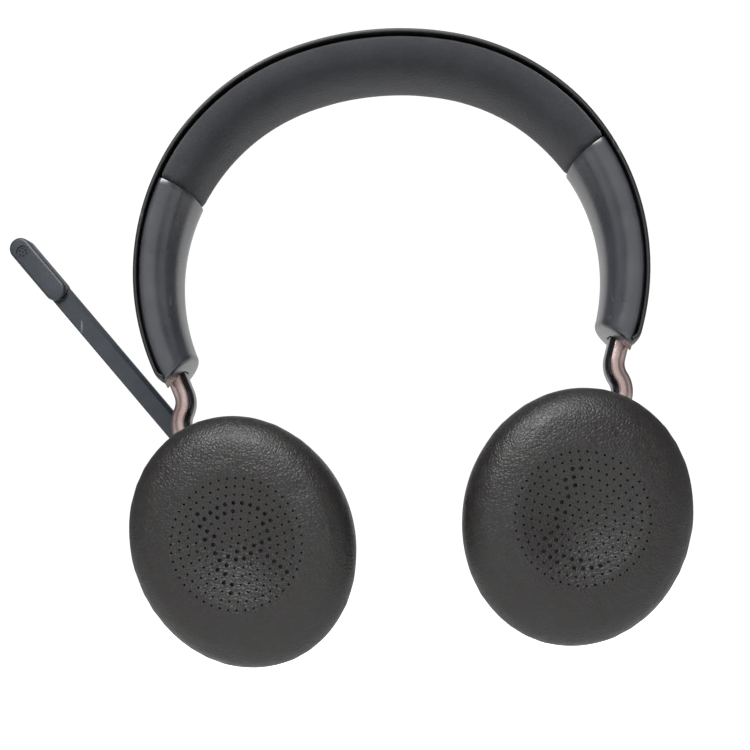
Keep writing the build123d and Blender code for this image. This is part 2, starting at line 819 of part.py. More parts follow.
boom_turn = radians(boom_angle)
boom_across = right_cup.x_dir * cos(boom_turn) - right_cup.y_dir * sin(boom_turn)
boom_plane = Plane(origin=right_cup.origin, x_dir=boom_across, z_dir=right_cup.z_dir)
mic_y = boom_length - grille_inset
mute_size = (9.0, 3.6)
mute_y = boom_length - tip_length / 2
strap_start = 24.0
strap_plane = Plane(
    origin=boom_plane.from_local_coords((0, strap_start, 0)),
    x_dir=boom_plane.x_dir,
    z_dir=boom_plane.y_dir,
)

# Boom arm: a ring around the cup's hub with a flat strap, bevelled in front, that ends in a
# rounded tip.
with BuildPart() as boom_arm:
    with BuildSketch(boom_plane.offset(ring_front)):
        Circle(ring_outer)
        Circle(hub_radius + ring_gap, mode=Mode.SUBTRACT)
    extrude(amount=boom_back - ring_front)
    fillet(outer_edges(boom_arm), ring_fillet)
    with BuildSketch(strap_plane):
        half = boom_width / 2
        with BuildLine():
            Polyline(
                (-half, -boom_back),
                (half, -boom_back),
                (half, -boom_front - strap_bevels[1]),
                (half - strap_bevels[1], -boom_front),
                (strap_bevels[0] - half, -boom_front),
                (-half, -boom_front - strap_bevels[0]),
                close=True,
            )
        make_face()
    extrude(amount=boom_length - tip_width / 2 - strap_start)
    with BuildSketch(boom_plane.offset(boom_front)):
        with Locations((0, boom_length - tip_length / 2)):
            SlotOverall(tip_length, tip_width, rotation=90)
    extrude(amount=boom_back - boom_front)
    with BuildSketch(boom_plane.offset(boom_back - 2.2)):
        with Locations((0, mute_y)):
            SlotOverall(mute_size[0] + 2 * key_gap, mute_size[1] + 2 * key_gap, rotation=90)
    extrude(amount=4, mode=Mode.SUBTRACT)
write(boom_arm, "boom_arm")

# Boom tip: the raised cover over the microphone.
with BuildPart() as boom_tip:
    with BuildSketch(boom_plane.offset(tip_front)):
        with Locations((0, boom_length - tip_length / 2)):
            SlotOverall(tip_length, tip_width, rotation=90)
    extrude(amount=boom_front - tip_front)
    fillet(boom_tip.edges().group_by(Axis.Y)[0], 1.0)
    with BuildSketch(boom_plane.offset(tip_front - 1)):
        with Locations((0, mic_y)):
            Circle(grille_radius)
    extrude(amount=1.6, mode=Mode.SUBTRACT)
    with BuildSketch(boom_plane.offset(tip_front + 0.6)):
        with Locations((0, mic_y)):
            Circle(2.6)
    extrude(amount=3, mode=Mode.SUBTRACT)
write(boom_tip, "boom_tip")

# Microphone grille with a ring of holes, set back in the tip's face.
with BuildPart() as mic_grille:
    with BuildSketch(boom_plane.offset(tip_front + 0.3)):
        with Locations((0, mic_y)):
            Circle(grille_radius)
            Circle(0.3, mode=Mode.SUBTRACT)
            with PolarLocations(1.2, 6):
                Circle(0.3, mode=Mode.SUBTRACT)
    extrude(amount=0.3)
write(mic_grille, "mic_grille")

# Microphone capsule behind the grille.
with BuildPart() as mic_capsule:
    with BuildSketch(boom_plane.offset(tip_front + 0.6)):
        with Locations((0, mic_y)):
            Circle(2.6)
    extrude(amount=1.6)
write(mic_capsule, "mic_capsule")

# Mute button on the boom's outer face.
with BuildPart() as mute_button:
    with BuildSketch(boom_plane.offset(boom_back - 1.7)):
        with Locations((0, mute_y)):
            SlotOverall(*mute_size, rotation=90)
    extrude(amount=2.1)
    fillet(mute_button.edges().group_by(Axis.Y)[-1], 0.3)
write(mute_button, "mute_button")
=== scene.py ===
import json
from math import atan2, cos, pi, radians, sin, sqrt

import bmesh
import bpy
from mathutils import Matrix, Vector

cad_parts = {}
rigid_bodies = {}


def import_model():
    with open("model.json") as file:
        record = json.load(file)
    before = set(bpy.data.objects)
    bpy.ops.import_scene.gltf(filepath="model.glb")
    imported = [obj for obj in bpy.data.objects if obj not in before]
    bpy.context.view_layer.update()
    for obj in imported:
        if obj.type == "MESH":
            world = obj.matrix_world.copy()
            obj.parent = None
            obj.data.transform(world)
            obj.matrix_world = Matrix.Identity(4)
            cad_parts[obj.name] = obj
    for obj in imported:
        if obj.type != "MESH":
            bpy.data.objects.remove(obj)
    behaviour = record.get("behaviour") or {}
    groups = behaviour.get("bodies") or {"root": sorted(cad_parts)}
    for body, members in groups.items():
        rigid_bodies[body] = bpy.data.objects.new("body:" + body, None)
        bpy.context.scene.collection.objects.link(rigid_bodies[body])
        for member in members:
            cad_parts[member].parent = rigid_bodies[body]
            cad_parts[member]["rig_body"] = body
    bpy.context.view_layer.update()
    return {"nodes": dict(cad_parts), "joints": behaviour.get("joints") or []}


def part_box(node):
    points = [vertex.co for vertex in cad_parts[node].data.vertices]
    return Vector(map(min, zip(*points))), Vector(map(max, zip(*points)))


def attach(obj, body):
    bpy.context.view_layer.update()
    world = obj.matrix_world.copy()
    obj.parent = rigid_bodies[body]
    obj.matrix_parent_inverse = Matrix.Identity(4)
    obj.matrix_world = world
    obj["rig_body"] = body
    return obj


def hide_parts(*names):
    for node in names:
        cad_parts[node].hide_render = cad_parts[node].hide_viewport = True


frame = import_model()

bl_info = {
    "name": "Office Headset Looks",
    "version": (1, 0, 0),
    "blender": (4, 5, 0),
    "location": "View3D > Sidebar > Headset",
    "description": "Shells, pads and finishes of a wireless office headset, built round its CAD frame",
    "category": "Object",
}

# ------------------------------------------------------------------ places read from the frame
# Everything is in metres. +Z is up, -Y is the wearer's front and +X the wearer's left.

JOINTS = {joint["name"]: joint for joint in frame["joints"]}
RIGHT_CUP = Vector(JOINTS["boom_swing"]["pos_m"])
LEFT_CUP = Vector((-RIGHT_CUP.x, 0, RIGHT_CUP.z))
SLIDE_AXIS = Vector(JOINTS["left_arm_slide"]["axis"])
SWIVEL_POINT = Vector(JOINTS["left_cup_swivel"]["pos_m"])
LEAN = atan2(-SLIDE_AXIS.x, -SLIDE_AXIS.z)
MM = 0.001
EVERY_SIDE = {"left": 1, "right": -1}
NODE_SLOTS = {name: node.material_slots[0].material.name for name, node in frame["nodes"].items()}


class BandSize(bpy.types.PropertyGroup):
    """Sizes of the headband."""

    crown_radius: bpy.props.FloatProperty(
        name="Crown radius", description="Radius of the outer line over the crown", default=0.0932,
        unit="LENGTH",
    )
    side_radius: bpy.props.FloatProperty(
        name="Side radius", description="Radius of the outer line down each side", default=0.071,
        unit="LENGTH",
    )
    crown_half_angle: bpy.props.FloatProperty(
        name="Crown half angle", description="Where the crown arc meets a side arc", default=radians(15.4),
        subtype="ANGLE",
    )
    width: bpy.props.FloatProperty(
        name="Width", description="Width of the band at the crown", default=0.030, unit="LENGTH"
    )
    end_width: bpy.props.FloatProperty(
        name="End width", description="Width of the band at its ends", default=0.022, unit="LENGTH"
    )
    depth: bpy.props.FloatProperty(
        name="Depth", description="Shell edge to the head side of the pad", default=0.0115, unit="LENGTH"
    )
    taper_start: bpy.props.FloatProperty(
        name="Taper start", description="Height where the band starts to narrow", default=-0.015,
        unit="LENGTH",
    )
    taper_end: bpy.props.FloatProperty(
        name="Taper end", description="Height where the band is at its end width", default=-0.088,
        unit="LENGTH",
    )
    shell_thickness: bpy.props.FloatProperty(
        name="Shell thickness", description="Thickness of the outer shell", default=0.0011, unit="LENGTH"
    )
    shell_rise: bpy.props.FloatProperty(
        name="Shell rise", description="How far the shell is crowned across its width", default=0.0014,
        unit="LENGTH",
    )
    seam_angle: bpy.props.FloatProperty(
        name="Seam angle", description="Where the padded crown ends and the end covers start",
        default=radians(60.0), subtype="ANGLE",
    )
    shell_end: bpy.props.FloatProperty(
        name="Shell end angle", description="Where the shell starts to curl round the covers' ends",
        default=radians(109.2), subtype="ANGLE",
    )
    curl_radius: bpy.props.FloatProperty(
        name="Curl radius", description="Radius of the shell's curled ends", default=0.0036, unit="LENGTH"
    )
    mouth_inner: bpy.props.FloatProperty(
        name="Mouth inner angle", description="Where the mouth meets the head side", default=radians(109.0),
        subtype="ANGLE",
    )
    mouth_outer: bpy.props.FloatProperty(
        name="Mouth outer angle", description="Where the mouth meets the shell", default=radians(113.5),
        subtype="ANGLE",
    )


class PadSize(bpy.types.PropertyGroup):
    """Sizes of the ear pads."""

    half_width: bpy.props.FloatProperty(
        name="Half width", description="Half of the pad's short axis before it swells", default=0.0324,
        unit="LENGTH",
    )
    half_height: bpy.props.FloatProperty(
        name="Half height", description="Half of the pad's long axis before it swells", default=0.0372,
        unit="LENGTH",
    )
    crest_share: bpy.props.FloatProperty(
        name="Crest", description="Place of the pad's highest ring, as a share of its half width",
        default=0.70, subtype="FACTOR",
    )
    back_share: bpy.props.FloatProperty(
        name="Back", description="Half width of the pad's flat back, as a share of its half width",
        default=0.86, subtype="FACTOR",
    )
    dish_depth: bpy.props.FloatProperty(
        name="Dish depth", description="How far the middle lies behind the crest", default=0.0036,
        unit="LENGTH",
    )
    hole_spacing: bpy.props.FloatProperty(
        name="Hole spacing", description="Distance from ring to ring of the sound holes", default=0.0023,
        unit="LENGTH",
    )
    hole_rings: bpy.props.IntProperty(
        name="Hole rings", description="Number of rings of sound holes", default=8
    )
    small_hole: bpy.props.FloatProperty(
        name="Small hole", description="Diameter of a plain sound hole", default=0.00068, unit="LENGTH"
    )
    large_hole: bpy.props.FloatProperty(
        name="Large hole", description="Diameter of the holes that draw the side letter", default=0.00125,
        unit="LENGTH",
    )


class FinishColours(bpy.types.PropertyGroup):
    """Colours of the finishes, as sRGB hex values."""

    shell: bpy.props.StringProperty(name="Outer shell", description="Black textured ABS", default="#121214")
    cover: bpy.props.StringProperty(name="End covers", description="Satin painted covers", default="#303136")
    boom: bpy.props.StringProperty(name="Boom", description="Blue-grey textured ABS", default="#20262d")
    fabric: bpy.props.StringProperty(name="Crown pad", description="Knitted cover", default="#313236")
    leather: bpy.props.StringProperty(name="Ear pads", description="Leatherette cover", default="#191615")
    bronze: bpy.props.StringProperty(name="Arms", description="Anodised aluminium", default="#cdb7b3")


class StageSetup(bpy.types.PropertyGroup):
    """Camera, lights and floor."""

    camera_place: bpy.props.FloatVectorProperty(
        name="Camera place", description="Where the camera stands", default=(0.0032, -0.2739, -0.1166),
        subtype="TRANSLATION", unit="LENGTH",
    )
    camera_pitch: bpy.props.FloatProperty(
        name="Camera pitch", description="How far the camera looks up", default=radians(0.9), subtype="ANGLE"
    )
    camera_yaw: bpy.props.FloatProperty(
        name="Camera yaw", description="How far the camera looks to its left", default=radians(2.47),
        subtype="ANGLE",
    )
    camera_roll: bpy.props.FloatProperty(
        name="Camera roll", description="How far the camera leans to its right", default=radians(4.43),
        subtype="ANGLE",
    )
    camera_lens: bpy.props.FloatProperty(
        name="Lens", description="Focal length on a 36 mm sensor, in millimetres", default=42.4
    )
    camera_shift: bpy.props.FloatProperty(
        name="Vertical shift", description="Vertical shift as a share of the frame", default=0.10
    )
    floor_height: bpy.props.FloatProperty(
        name="Floor height", description="Height of the floor, below the lowest pose", default=-0.30,
        unit="LENGTH",
    )


def sizes(group):
    """The scene's values of one property group."""
    return getattr(bpy.context.scene, group)


# ------------------------------------------------------------------ working in edit mode


def start_clean():
    """Leave edit mode and deselect everything, because the loaded nodes start selected."""
    if bpy.context.mode != "OBJECT":
        bpy.ops.object.mode_set(mode="OBJECT")
    bpy.ops.object.select_all(action="DESELECT")


def begin(name):
    """Name the primitive that was just added, settle its place into its mesh and start editing it."""
    piece = bpy.context.object
    piece.name = name
    piece.data.name = name
    bpy.ops.object.transform_apply(location=True, rotation=True, scale=True)
    bpy.ops.object.mode_set(mode="EDIT")
    return piece


def edit(piece):
    """Make a piece the only selected one and start editing it."""
    start_clean()
    bpy.context.view_layer.objects.active = piece
    piece.select_set(True)
    bpy.ops.object.mode_set(mode="EDIT")


def pick(piece, kind, test):
    """Select the verts, edges or faces that pass a test, and nothing else."""
    bpy.ops.mesh.select_mode(type={"verts": "VERT", "edges": "EDGE", "faces": "FACE"}[kind])
    bpy.ops.mesh.select_all(action="DESELECT")
    mesh = bmesh.from_edit_mesh(piece.data)
    for item in getattr(mesh, kind):
        item.select_set(bool(test(item)))
    mesh.select_flush_mode()
    bmesh.update_edit_mesh(piece.data)


def middle(edge):
    """Middle point of an edge."""
    return (edge.verts[0].co + edge.verts[1].co) / 2


def close_up(piece, merge=0.00001):
    """Merge doubles, turn all faces outwards and leave edit mode."""
    bpy.ops.mesh.select_mode(type="VERT")
    bpy.ops.mesh.select_all(action="SELECT")
    bpy.ops.mesh.remove_doubles(threshold=merge)
    bpy.ops.mesh.normals_make_consistent(inside=False)
    if bmesh.from_edit_mesh(piece.data).calc_volume(signed=True) < 0:
        bpy.ops.mesh.flip_normals()
    bpy.ops.object.mode_set(mode="OBJECT")
    return piece


def smooth(piece, angle=32):
    """Shade a piece smooth up to an edge angle."""
    start_clean()
    bpy.context.view_layer.objects.active = piece
    piece.select_set(True)
    bpy.ops.object.shade_smooth_by_angle(angle=radians(angle))


def apply_modifier(piece, modifier):
    """Apply one modifier of a piece."""
    start_clean()
    bpy.context.view_layer.objects.active = piece
    piece.select_set(True)
    bpy.ops.object.modifier_apply(modifier=modifier.name)


def round_edges(piece, width, segments=3, angle=40):
    """Round every edge that is sharper than an angle."""
    bevel = piece.modifiers.new("Rounding", "BEVEL")
    bevel.width = width
    bevel.segments = segments
    bevel.limit_method = "ANGLE"
    bevel.angle_limit = radians(angle)
    bevel.harden_normals = False
    apply_modifier(piece, bevel)


def spin(turn, centre, step=radians(2)):
    """Sweep the selected faces about the Y axis through a point. A positive turn goes from +Z to +X."""
    steps = max(1, round(abs(turn) / step))
    bpy.ops.mesh.spin(steps=steps, angle=-turn, center=centre, axis=(0, 1, 0))


def swing(turn, centre):
    """Turn the selection about the Y axis through a point, from +Z to +X where the turn is positive."""
    bpy.ops.transform.rotate(value=-turn, orient_axis="Y", center_override=centre)


# ------------------------------------------------------------------ the band's outline


def band_centres():
    """Centres of the crown arc and of the right and left side arcs."""
    band = sizes("headset_band")
    crown = Vector((0, 0, band.depth - band.crown_radius))
    reach = band.crown_radius - band.side_radius
    side = Vector((reach * sin(band.crown_half_angle), 0, crown.z + reach * cos(band.crown_half_angle)))
    return crown, Vector((-side.x, 0, side.z)), side


def on_side(angle, inset):
    """Point on the left side of the band at an angle from the vertical, below its outer line."""
    band = sizes("headset_band")
    centre = band_centres()[2]
    return centre + (band.side_radius - inset) * Vector((sin(angle), 0, cos(angle)))


def width_share(height):
    """The band's width at a height, as a share of its width at the crown."""
    band = sizes("headset_band")
    run = (band.taper_start - height) / (band.taper_start - band.taper_end)
    run = min(1.0, max(0.0, run))
    return 1 + run * (band.end_width / band.width - 1)


def narrow(piece):
    """Narrow the band towards its ends, one ring of vertices after another."""
    side_radius = sizes("headset_band").side_radius
    centre = band_centres()[2]

    def turn_of(vert):
        return round(atan2(abs(vert.co.x) - centre.x, vert.co.z - centre.z), 3)

    for turn in sorted({turn_of(vert) for vert in bmesh.from_edit_mesh(piece.data).verts}):
        share = width_share(centre.z + side_radius * cos(turn))
        if share < 1:
            pick(piece, "verts", lambda vert: turn_of(vert) == turn)
            bpy.ops.transform.resize(value=(1, share, 1), center_override=(0, 0, 0))


def make_outer_shell():
    """Crowned strip that runs over the head from end to end and curls round the covers' ends."""
    band = sizes("headset_band")
    crown, right, left = band_centres()
    start_clean()
    middle_line = right + Vector((0, 0, band.side_radius - band.shell_thickness / 2))
    bpy.ops.mesh.primitive_grid_add(
        x_subdivisions=1, y_subdivisions=28, size=1, location=middle_line, rotation=(0, pi / 2, 0)
    )
    piece = begin("outer_shell")
    bpy.ops.mesh.select_all(action="SELECT")
    bpy.ops.transform.resize(value=(1, band.width, band.shell_thickness), center_override=middle_line)
    half = band.width / 2
    columns = sorted({round(v.co.y, 6) for v in bmesh.from_edit_mesh(piece.data).verts})
    for column in columns:
        pick(piece, "verts", lambda v: abs(v.co.y - column) < 1e-5)
        rise = band.shell_rise * (1 - (column / half) ** 2)
        bpy.ops.transform.translate(value=(0, 0, rise))
    bpy.ops.mesh.select_mode(type="FACE")
    bpy.ops.mesh.select_all(action="SELECT")
    curl = radians(62)
    curl_centre = right + Vector((0, 0, band.side_radius - band.curl_radius))
    swing(-band.shell_end, right)
    swing_matrix = Matrix.Rotation(-band.shell_end, 3, "Y")
    curl_start = right + swing_matrix @ (curl_centre - right)
    swing(-curl, curl_start)
    spin(curl, curl_start, radians(10))
    spin(band.shell_end - band.crown_half_angle, right)
    spin(2 * band.crown_half_angle, crown)
    spin(band.shell_end - band.crown_half_angle, left)
    spin(curl, Vector((-curl_start.x, 0, curl_start.z)), radians(10))
    narrow(piece)
    close_up(piece)
    round_edges(piece, 0.45 * MM, 3, 50)
    smooth(piece)
    finish(piece, "headband", "textured_black_abs", "shell_plastic", "headband_shell")


def bulged_section(name, centre, turn, shrink=0.0, lift=0.0):
    """Section of the band's inner side, turned to its place: a deep half under a shallow half ellipse.
    It can be shrunk inside the band's outline, and its back lifted outwards."""
    band = sizes("headset_band")
    start_clean()
    shoulder = band.shell_thickness + 1.7 * MM
    place = centre + Vector((0, 0, band.side_radius - shoulder))
    half = band.width / 2 - shrink
    bpy.ops.mesh.primitive_circle_add(
        vertices=72, radius=half, fill_type="NGON", location=place, rotation=(0, pi / 2, 0)
    )
    piece = begin(name)
    upper = shoulder - band.shell_thickness + band.shell_rise - 0.1 * MM + lift
    lower = band.depth - shoulder - shrink
    pick(piece, "verts", lambda v: v.co.z > place.z)
    bpy.ops.transform.resize(value=(1, 1, upper / half), center_override=place)
    pick(piece, "verts", lambda v: v.co.z < place.z)
    bpy.ops.transform.resize(value=(1, 1, lower / half), center_override=place)
    fill_out(piece, place, lower, half)
    bpy.ops.mesh.select_mode(type="FACE")
    bpy.ops.mesh.select_all(action="SELECT")
    swing(turn, centre)
    return piece


def fill_out(piece, place, depth, half):
    """Fill out the lower half of an elliptical section row by row, so that its side walls stand
    straighter and its corners are rounder."""
    fullness = 2.6
    rows = {round(v.co.z, 6) for v in bmesh.from_edit_mesh(piece.data).verts if v.co.z < place.z - 1e-5}
    for row in sorted(rows):
        share = (place.z - row) / depth
        if share < 0.999:
            wider = (1 - share**fullness) ** (1 / fullness) / sqrt(1 - share**2)
            pick(piece, "verts", lambda v: abs(v.co.z - row) < 2e-6)
            bpy.ops.transform.resize(value=(1, wider, 1), center_override=place)


def arm_hole_cutter():
    """Cutter for the hole that the left arm slides through: a rounded bar along the slide axis.
    It reaches out past the cover's back, because the arm runs close under the shell."""
    low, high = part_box("left_arm")
    past = 4.0 * MM
    start_clean()
    bpy.ops.mesh.primitive_cube_add(size=1, location=(0, 0, 0))
    cutter = begin("arm_hole_cutter")
    bpy.ops.mesh.select_all(action="SELECT")
    clearance = 0.5 * MM
    arm_thickness = 6 * MM
    length = 40 * MM
    bpy.ops.transform.resize(
        value=(arm_thickness + clearance + past, high.y - low.y + clearance, length)
    )
    bpy.ops.transform.translate(value=(past / 2, 0, 0))
    pick(cutter, "edges", lambda e: abs(e.verts[0].co.z - e.verts[1].co.z) > length / 2)
    bpy.ops.mesh.bevel(offset=2.1 * MM, segments=8, affect="EDGES")
    bpy.ops.mesh.select_all(action="SELECT")
    height_above_swivel = 42 * MM
    bpy.ops.transform.translate(value=(0, 0, height_above_swivel))
    swing(LEAN, Vector((0, 0, 0)))
    bpy.ops.transform.translate(value=SWIVEL_POINT)
    return close_up(cutter)


def cover_hollow():
    """Cutter that leaves the left cover a thin wall and an open back, where the slider runs."""
    band = sizes("headset_band")
    left = band_centres()[2]
    start = band.seam_angle + radians(1.8)
    cutter = bulged_section("cover_hollow", left, start, shrink=1.6 * MM, lift=MM)
    spin(band.mouth_inner - radians(3.5) - start, left, radians(1.5))
    narrow(cutter)
    return close_up(cutter)


def make_left_cover():
    """Left end cover: a moulded shroud with a slanted mouth for the arm, rounded on its head side."""
    band = sizes("headset_band")
    left = band_centres()[2]
    seam = band.seam_angle + radians(0.3)
    piece = bulged_section("left_shroud", left, seam)
    plain_end = band.mouth_inner - radians(2)
    spin(plain_end - seam, left, radians(1.5))
    spin(band.mouth_outer + radians(4) - plain_end, left, radians(12))
    narrow(piece)
    inner = on_side(band.mouth_inner, band.depth)
    outer = on_side(band.mouth_outer, 0)
    slope = (outer - inner).normalized()
    down = Vector((slope.z, 0, -slope.x))
    if down.z > 0:
        down = -down
    bpy.ops.mesh.select_all(action="SELECT")
    bpy.ops.mesh.bisect(plane_co=inner, plane_no=down, use_fill=True, clear_outer=True)
    seam_normal = Vector((cos(seam), 0, -sin(seam)))
    seam_point = on_side(seam, 0)
    pick(piece, "edges", lambda e: abs((middle(e) - seam_point).dot(seam_normal)) < 1e-5)
    bpy.ops.mesh.bevel(offset=0.35 * MM, segments=2, affect="EDGES")
    close_up(piece)
    cut_with(piece, cover_hollow())
    cut_with(piece, arm_hole_cutter())
    head_side = band.side_radius - band.shell_thickness - 2.2 * MM

    def on_rim(edge):
        """Whether an edge is on the mouth's outer rim, on the head side of the shell."""
        place = middle(edge)
        reach = Vector((place.x - left.x, 0, place.z - left.z)).length
        if abs((place - inner).dot(down)) > 1e-5 or reach > head_side:
            return False
        from_axis = place - SWIVEL_POINT
        from_axis -= from_axis.dot(SLIDE_AXIS) * SLIDE_AXIS
        wall = min(edge.link_faces, key=lambda face: abs(face.normal.dot(down)))
        return wall.normal.dot(from_axis) > 0

    edit(piece)
    pick(piece, "edges", on_rim)
    bpy.ops.mesh.bevel(offset=1.6 * MM, segments=6, affect="EDGES")
    close_up(piece)
    smooth(piece, 40)
    return piece


def cut_with(piece, cutter):
    """Cut one piece with another and remove the cutter."""
    cut = piece.modifiers.new("Cut", "BOOLEAN")
    cut.operation = "DIFFERENCE"
    cut.solver = "EXACT"
    cut.object = cutter
    apply_modifier(piece, cut)
    bpy.data.objects.remove(cutter)
    if not piece.data.polygons:
        raise RuntimeError(f"a cut left nothing of {piece.name}")


def mirrored(piece, name):
    """Copy of a left-hand piece with its own mesh, mirrored to the right-hand side."""
    start_clean()
    twin = piece.copy()
    twin.data = piece.data.copy()
    twin.name = name
    twin.data.name = name
    bpy.context.collection.objects.link(twin)
    edit(twin)
    bpy.ops.mesh.select_all(action="SELECT")
    bpy.ops.transform.mirror(constraint_axis=(True, False, False), center_override=(0, 0, 0))
    bpy.ops.mesh.flip_normals()
    bpy.ops.object.mode_set(mode="OBJECT")
    return twin


def make_covers():
    """Both end covers."""
    left = make_left_cover()
    right = mirrored(left, "right_shroud")
    finish(left, "headband", "satin_painted_abs", "satin_plastic", "left_end_cover")
    finish(right, "headband", "satin_painted_abs", "satin_plastic", "right_end_cover")


# ------------------------------------------------------------------ soft pieces


def hold(piece, test):
    """Vertex group that holds still the vertices that pass a test."""
    group = piece.vertex_groups.new(name="held")
    held = [v.index for v in piece.data.vertices if test(v.co)]
    group.add(held, 1.0, "REPLACE")
    return group


def remesh(piece, voxel):
    """Even out a piece's mesh before it is simulated."""
    modifier = piece.modifiers.new("Even", "REMESH")
    modifier.mode = "VOXEL"
    modifier.voxel_size = voxel
    apply_modifier(piece, modifier)


def swell(piece, held, pressure, limit):
    """Blow a piece up a little by cloth simulation, and let no point move further than a limit."""
    start = [v.co.copy() for v in piece.data.vertices]
    modifier = piece.modifiers.new("Swell", "CLOTH")
    cloth = modifier.settings
    cloth.quality = 6
    cloth.mass = 0.02
    cloth.tension_stiffness = 12
    cloth.compression_stiffness = 12
    cloth.bending_stiffness = 1.5
    cloth.use_pressure = True
    cloth.uniform_pressure_force = pressure
    cloth.vertex_group_mass = held.name
    cloth.effector_weights.gravity = 0
    modifier.collision_settings.use_collision = False
    scene = bpy.context.scene
    last_frame = 20
    scene.frame_start = 1
    scene.frame_end = last_frame
    for step in range(1, last_frame + 1):
        scene.frame_set(step)
    apply_modifier(piece, modifier)
    scene.frame_set(1)
    for vert, before in zip(piece.data.vertices, start):
        move = vert.co - before
        if move.length > limit:
            vert.co = before + move * (limit / move.length)


def subdivide_once(piece):
    """One level of subdivision, applied."""
    modifier = piece.modifiers.new("Soft", "SUBSURF")
    modifier.levels = 1
    modifier.render_levels = 1
    apply_modifier(piece, modifier)


def make_crown_pad():
    """Padded crown: foam under a knitted cover, stretched between the two end covers."""
    band = sizes("headset_band")
    crown, right, left = band_centres()
    piece = bulged_section("crown_pad", right, -band.seam_angle, shrink=0.35 * MM)
    spin(band.seam_angle - band.crown_half_angle, right)
    spin(2 * band.crown_half_angle, crown)
    spin(band.seam_angle - band.crown_half_angle, left)
    narrow(piece)
    close_up(piece)
    remesh(piece, 1.6 * MM)
    end_wall = band.seam_angle - radians(1.6)

    def near_end_or_top(co):
        across = Vector((abs(co.x) - left.x, 0, co.z - left.z))
        turn = atan2(across.x, across.z)
        return turn > end_wall or across.length > band.side_radius - 2.0 * MM and turn > 0.3

    held = hold(piece, near_end_or_top)
    swell(piece, held, 4.0, 0.8 * MM)
    subdivide_once(piece)
    smooth(piece, 60)
    finish(piece, "headband", "knitted_polyester", "crown_fabric", "crown_cushion")


def cup_turn(side):
    """Matrix that turns a piece from upright to one cup's lean and moves it there."""
    cup = LEFT_CUP if side == "left" else RIGHT_CUP
    return Matrix.Translation(cup) @ Matrix.Rotation(EVERY_SIDE[side] * LEAN, 4, "Y")


def pad_outline():
    """Radius and depth of the ear pad from its back to the middle of its dish, as shares of the
    half width and as depths in front of the cup's origin."""
    pad = sizes("headset_pad")
    back, front = -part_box("left_cushion")[1].y, -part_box("left_cushion")[0].y
    widest = back + 0.42 * (front - back)
    crest = pad.crest_share
    points = []
    for step in range(7):
        turn = step / 6 * pi / 2
        share = pad.back_share + (1 - pad.back_share) * sin(turn)
        points.append((share, widest - (widest - back) * cos(turn)))
    for step in range(1, 13):
        turn = step / 12 * pi / 2
        points.append((crest + (1 - crest) * cos(turn), widest + (front - 0.5 * MM - widest) * sin(turn)))
    for step in range(1, 12):
        share = crest * (1 - step / 11.5)
        dip = pad.dish_depth * (1 + cos(pi * share / crest)) / 2
        points.append((share, front - 0.5 * MM - dip))
    return points


def make_ear_pad(side):
    """One ear pad: a swollen oval ring round a dished, perforated middle."""
    pad = sizes("headset_pad")
    outline = pad_outline()
    start_clean()
    share, depth = outline[0]
    place = Vector((0, -depth, 0))
    bpy.ops.mesh.primitive_circle_add(
        vertices=72, radius=share * pad.half_width, fill_type="NGON", location=place, rotation=(pi / 2, 0, 0)
    )
    piece = begin(side + "_ear_pad")
    bpy.ops.mesh.select_mode(type="FACE")
    bpy.ops.mesh.select_all(action="SELECT")
    for wider, deeper in outline[1:]:
        step = Vector((0, depth - deeper, 0))
        bpy.ops.mesh.extrude_region_move(TRANSFORM_OT_translate={"value": step})
        grow = wider / share
        bpy.ops.transform.resize(value=(grow, 1, grow), center_override=(0, -deeper, 0))
        share, depth = wider, deeper
    bpy.ops.mesh.select_all(action="SELECT")
    bpy.ops.transform.resize(value=(1, 1, pad.half_height / pad.half_width), center_override=(0, 0, 0))
    close_up(piece)
    piece.data.transform(cup_turn(side))
    remesh(piece, 2.4 * MM)
    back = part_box("left_cushion")[1].y
    held = hold(piece, lambda co: co.y > back - 1.5 * MM)
    swell(piece, held, 4.0, 1.0 * MM)
    subdivide_once(piece)
    perforate(piece, side)
    smooth(piece, 42)
    finish(piece, side + "_cup", "pebbled_leatherette", "ear_leatherette", side + "_cushion")


# The letters are strokes in units of the ring spacing, x to the reader's right and y up.
LETTER_LINES = {
    "left": (((-2.65, 5.4), (-2.65, -5.5)), ((-2.65, -5.2), (3.6, -5.2))),
    "right": (
        ((-2.9, 5.0), (-2.9, -5.5)),
        ((-2.9, 4.6), (1.6, 4.6)),
        ((-2.9, -1.3), (1.6, -1.3)),
        ((1.6, -1.3), (4.3, -5.7)),
    ),
}
BOWL_CENTRE = (1.6, 1.65)
BOWL_RADIUS = 2.95
LETTER_LEAN = {"left": radians(23.7), "right": radians(-18.7)}


def on_letter(side, x, y):
    """Whether a hole belongs to the side letter."""
    point = Vector((x, y))
    reach = 0.75
    for start, end in LETTER_LINES[side]:
        first, last = Vector(start), Vector(end)
        run = last - first
        share = min(1.0, max(0.0, (point - first).dot(run) / run.length_squared))
        if (point - first - share * run).length < reach:
            return True
    if side == "left" or x < BOWL_CENTRE[0]:
        return False
    return abs((point - Vector(BOWL_CENTRE)).length - BOWL_RADIUS) < reach


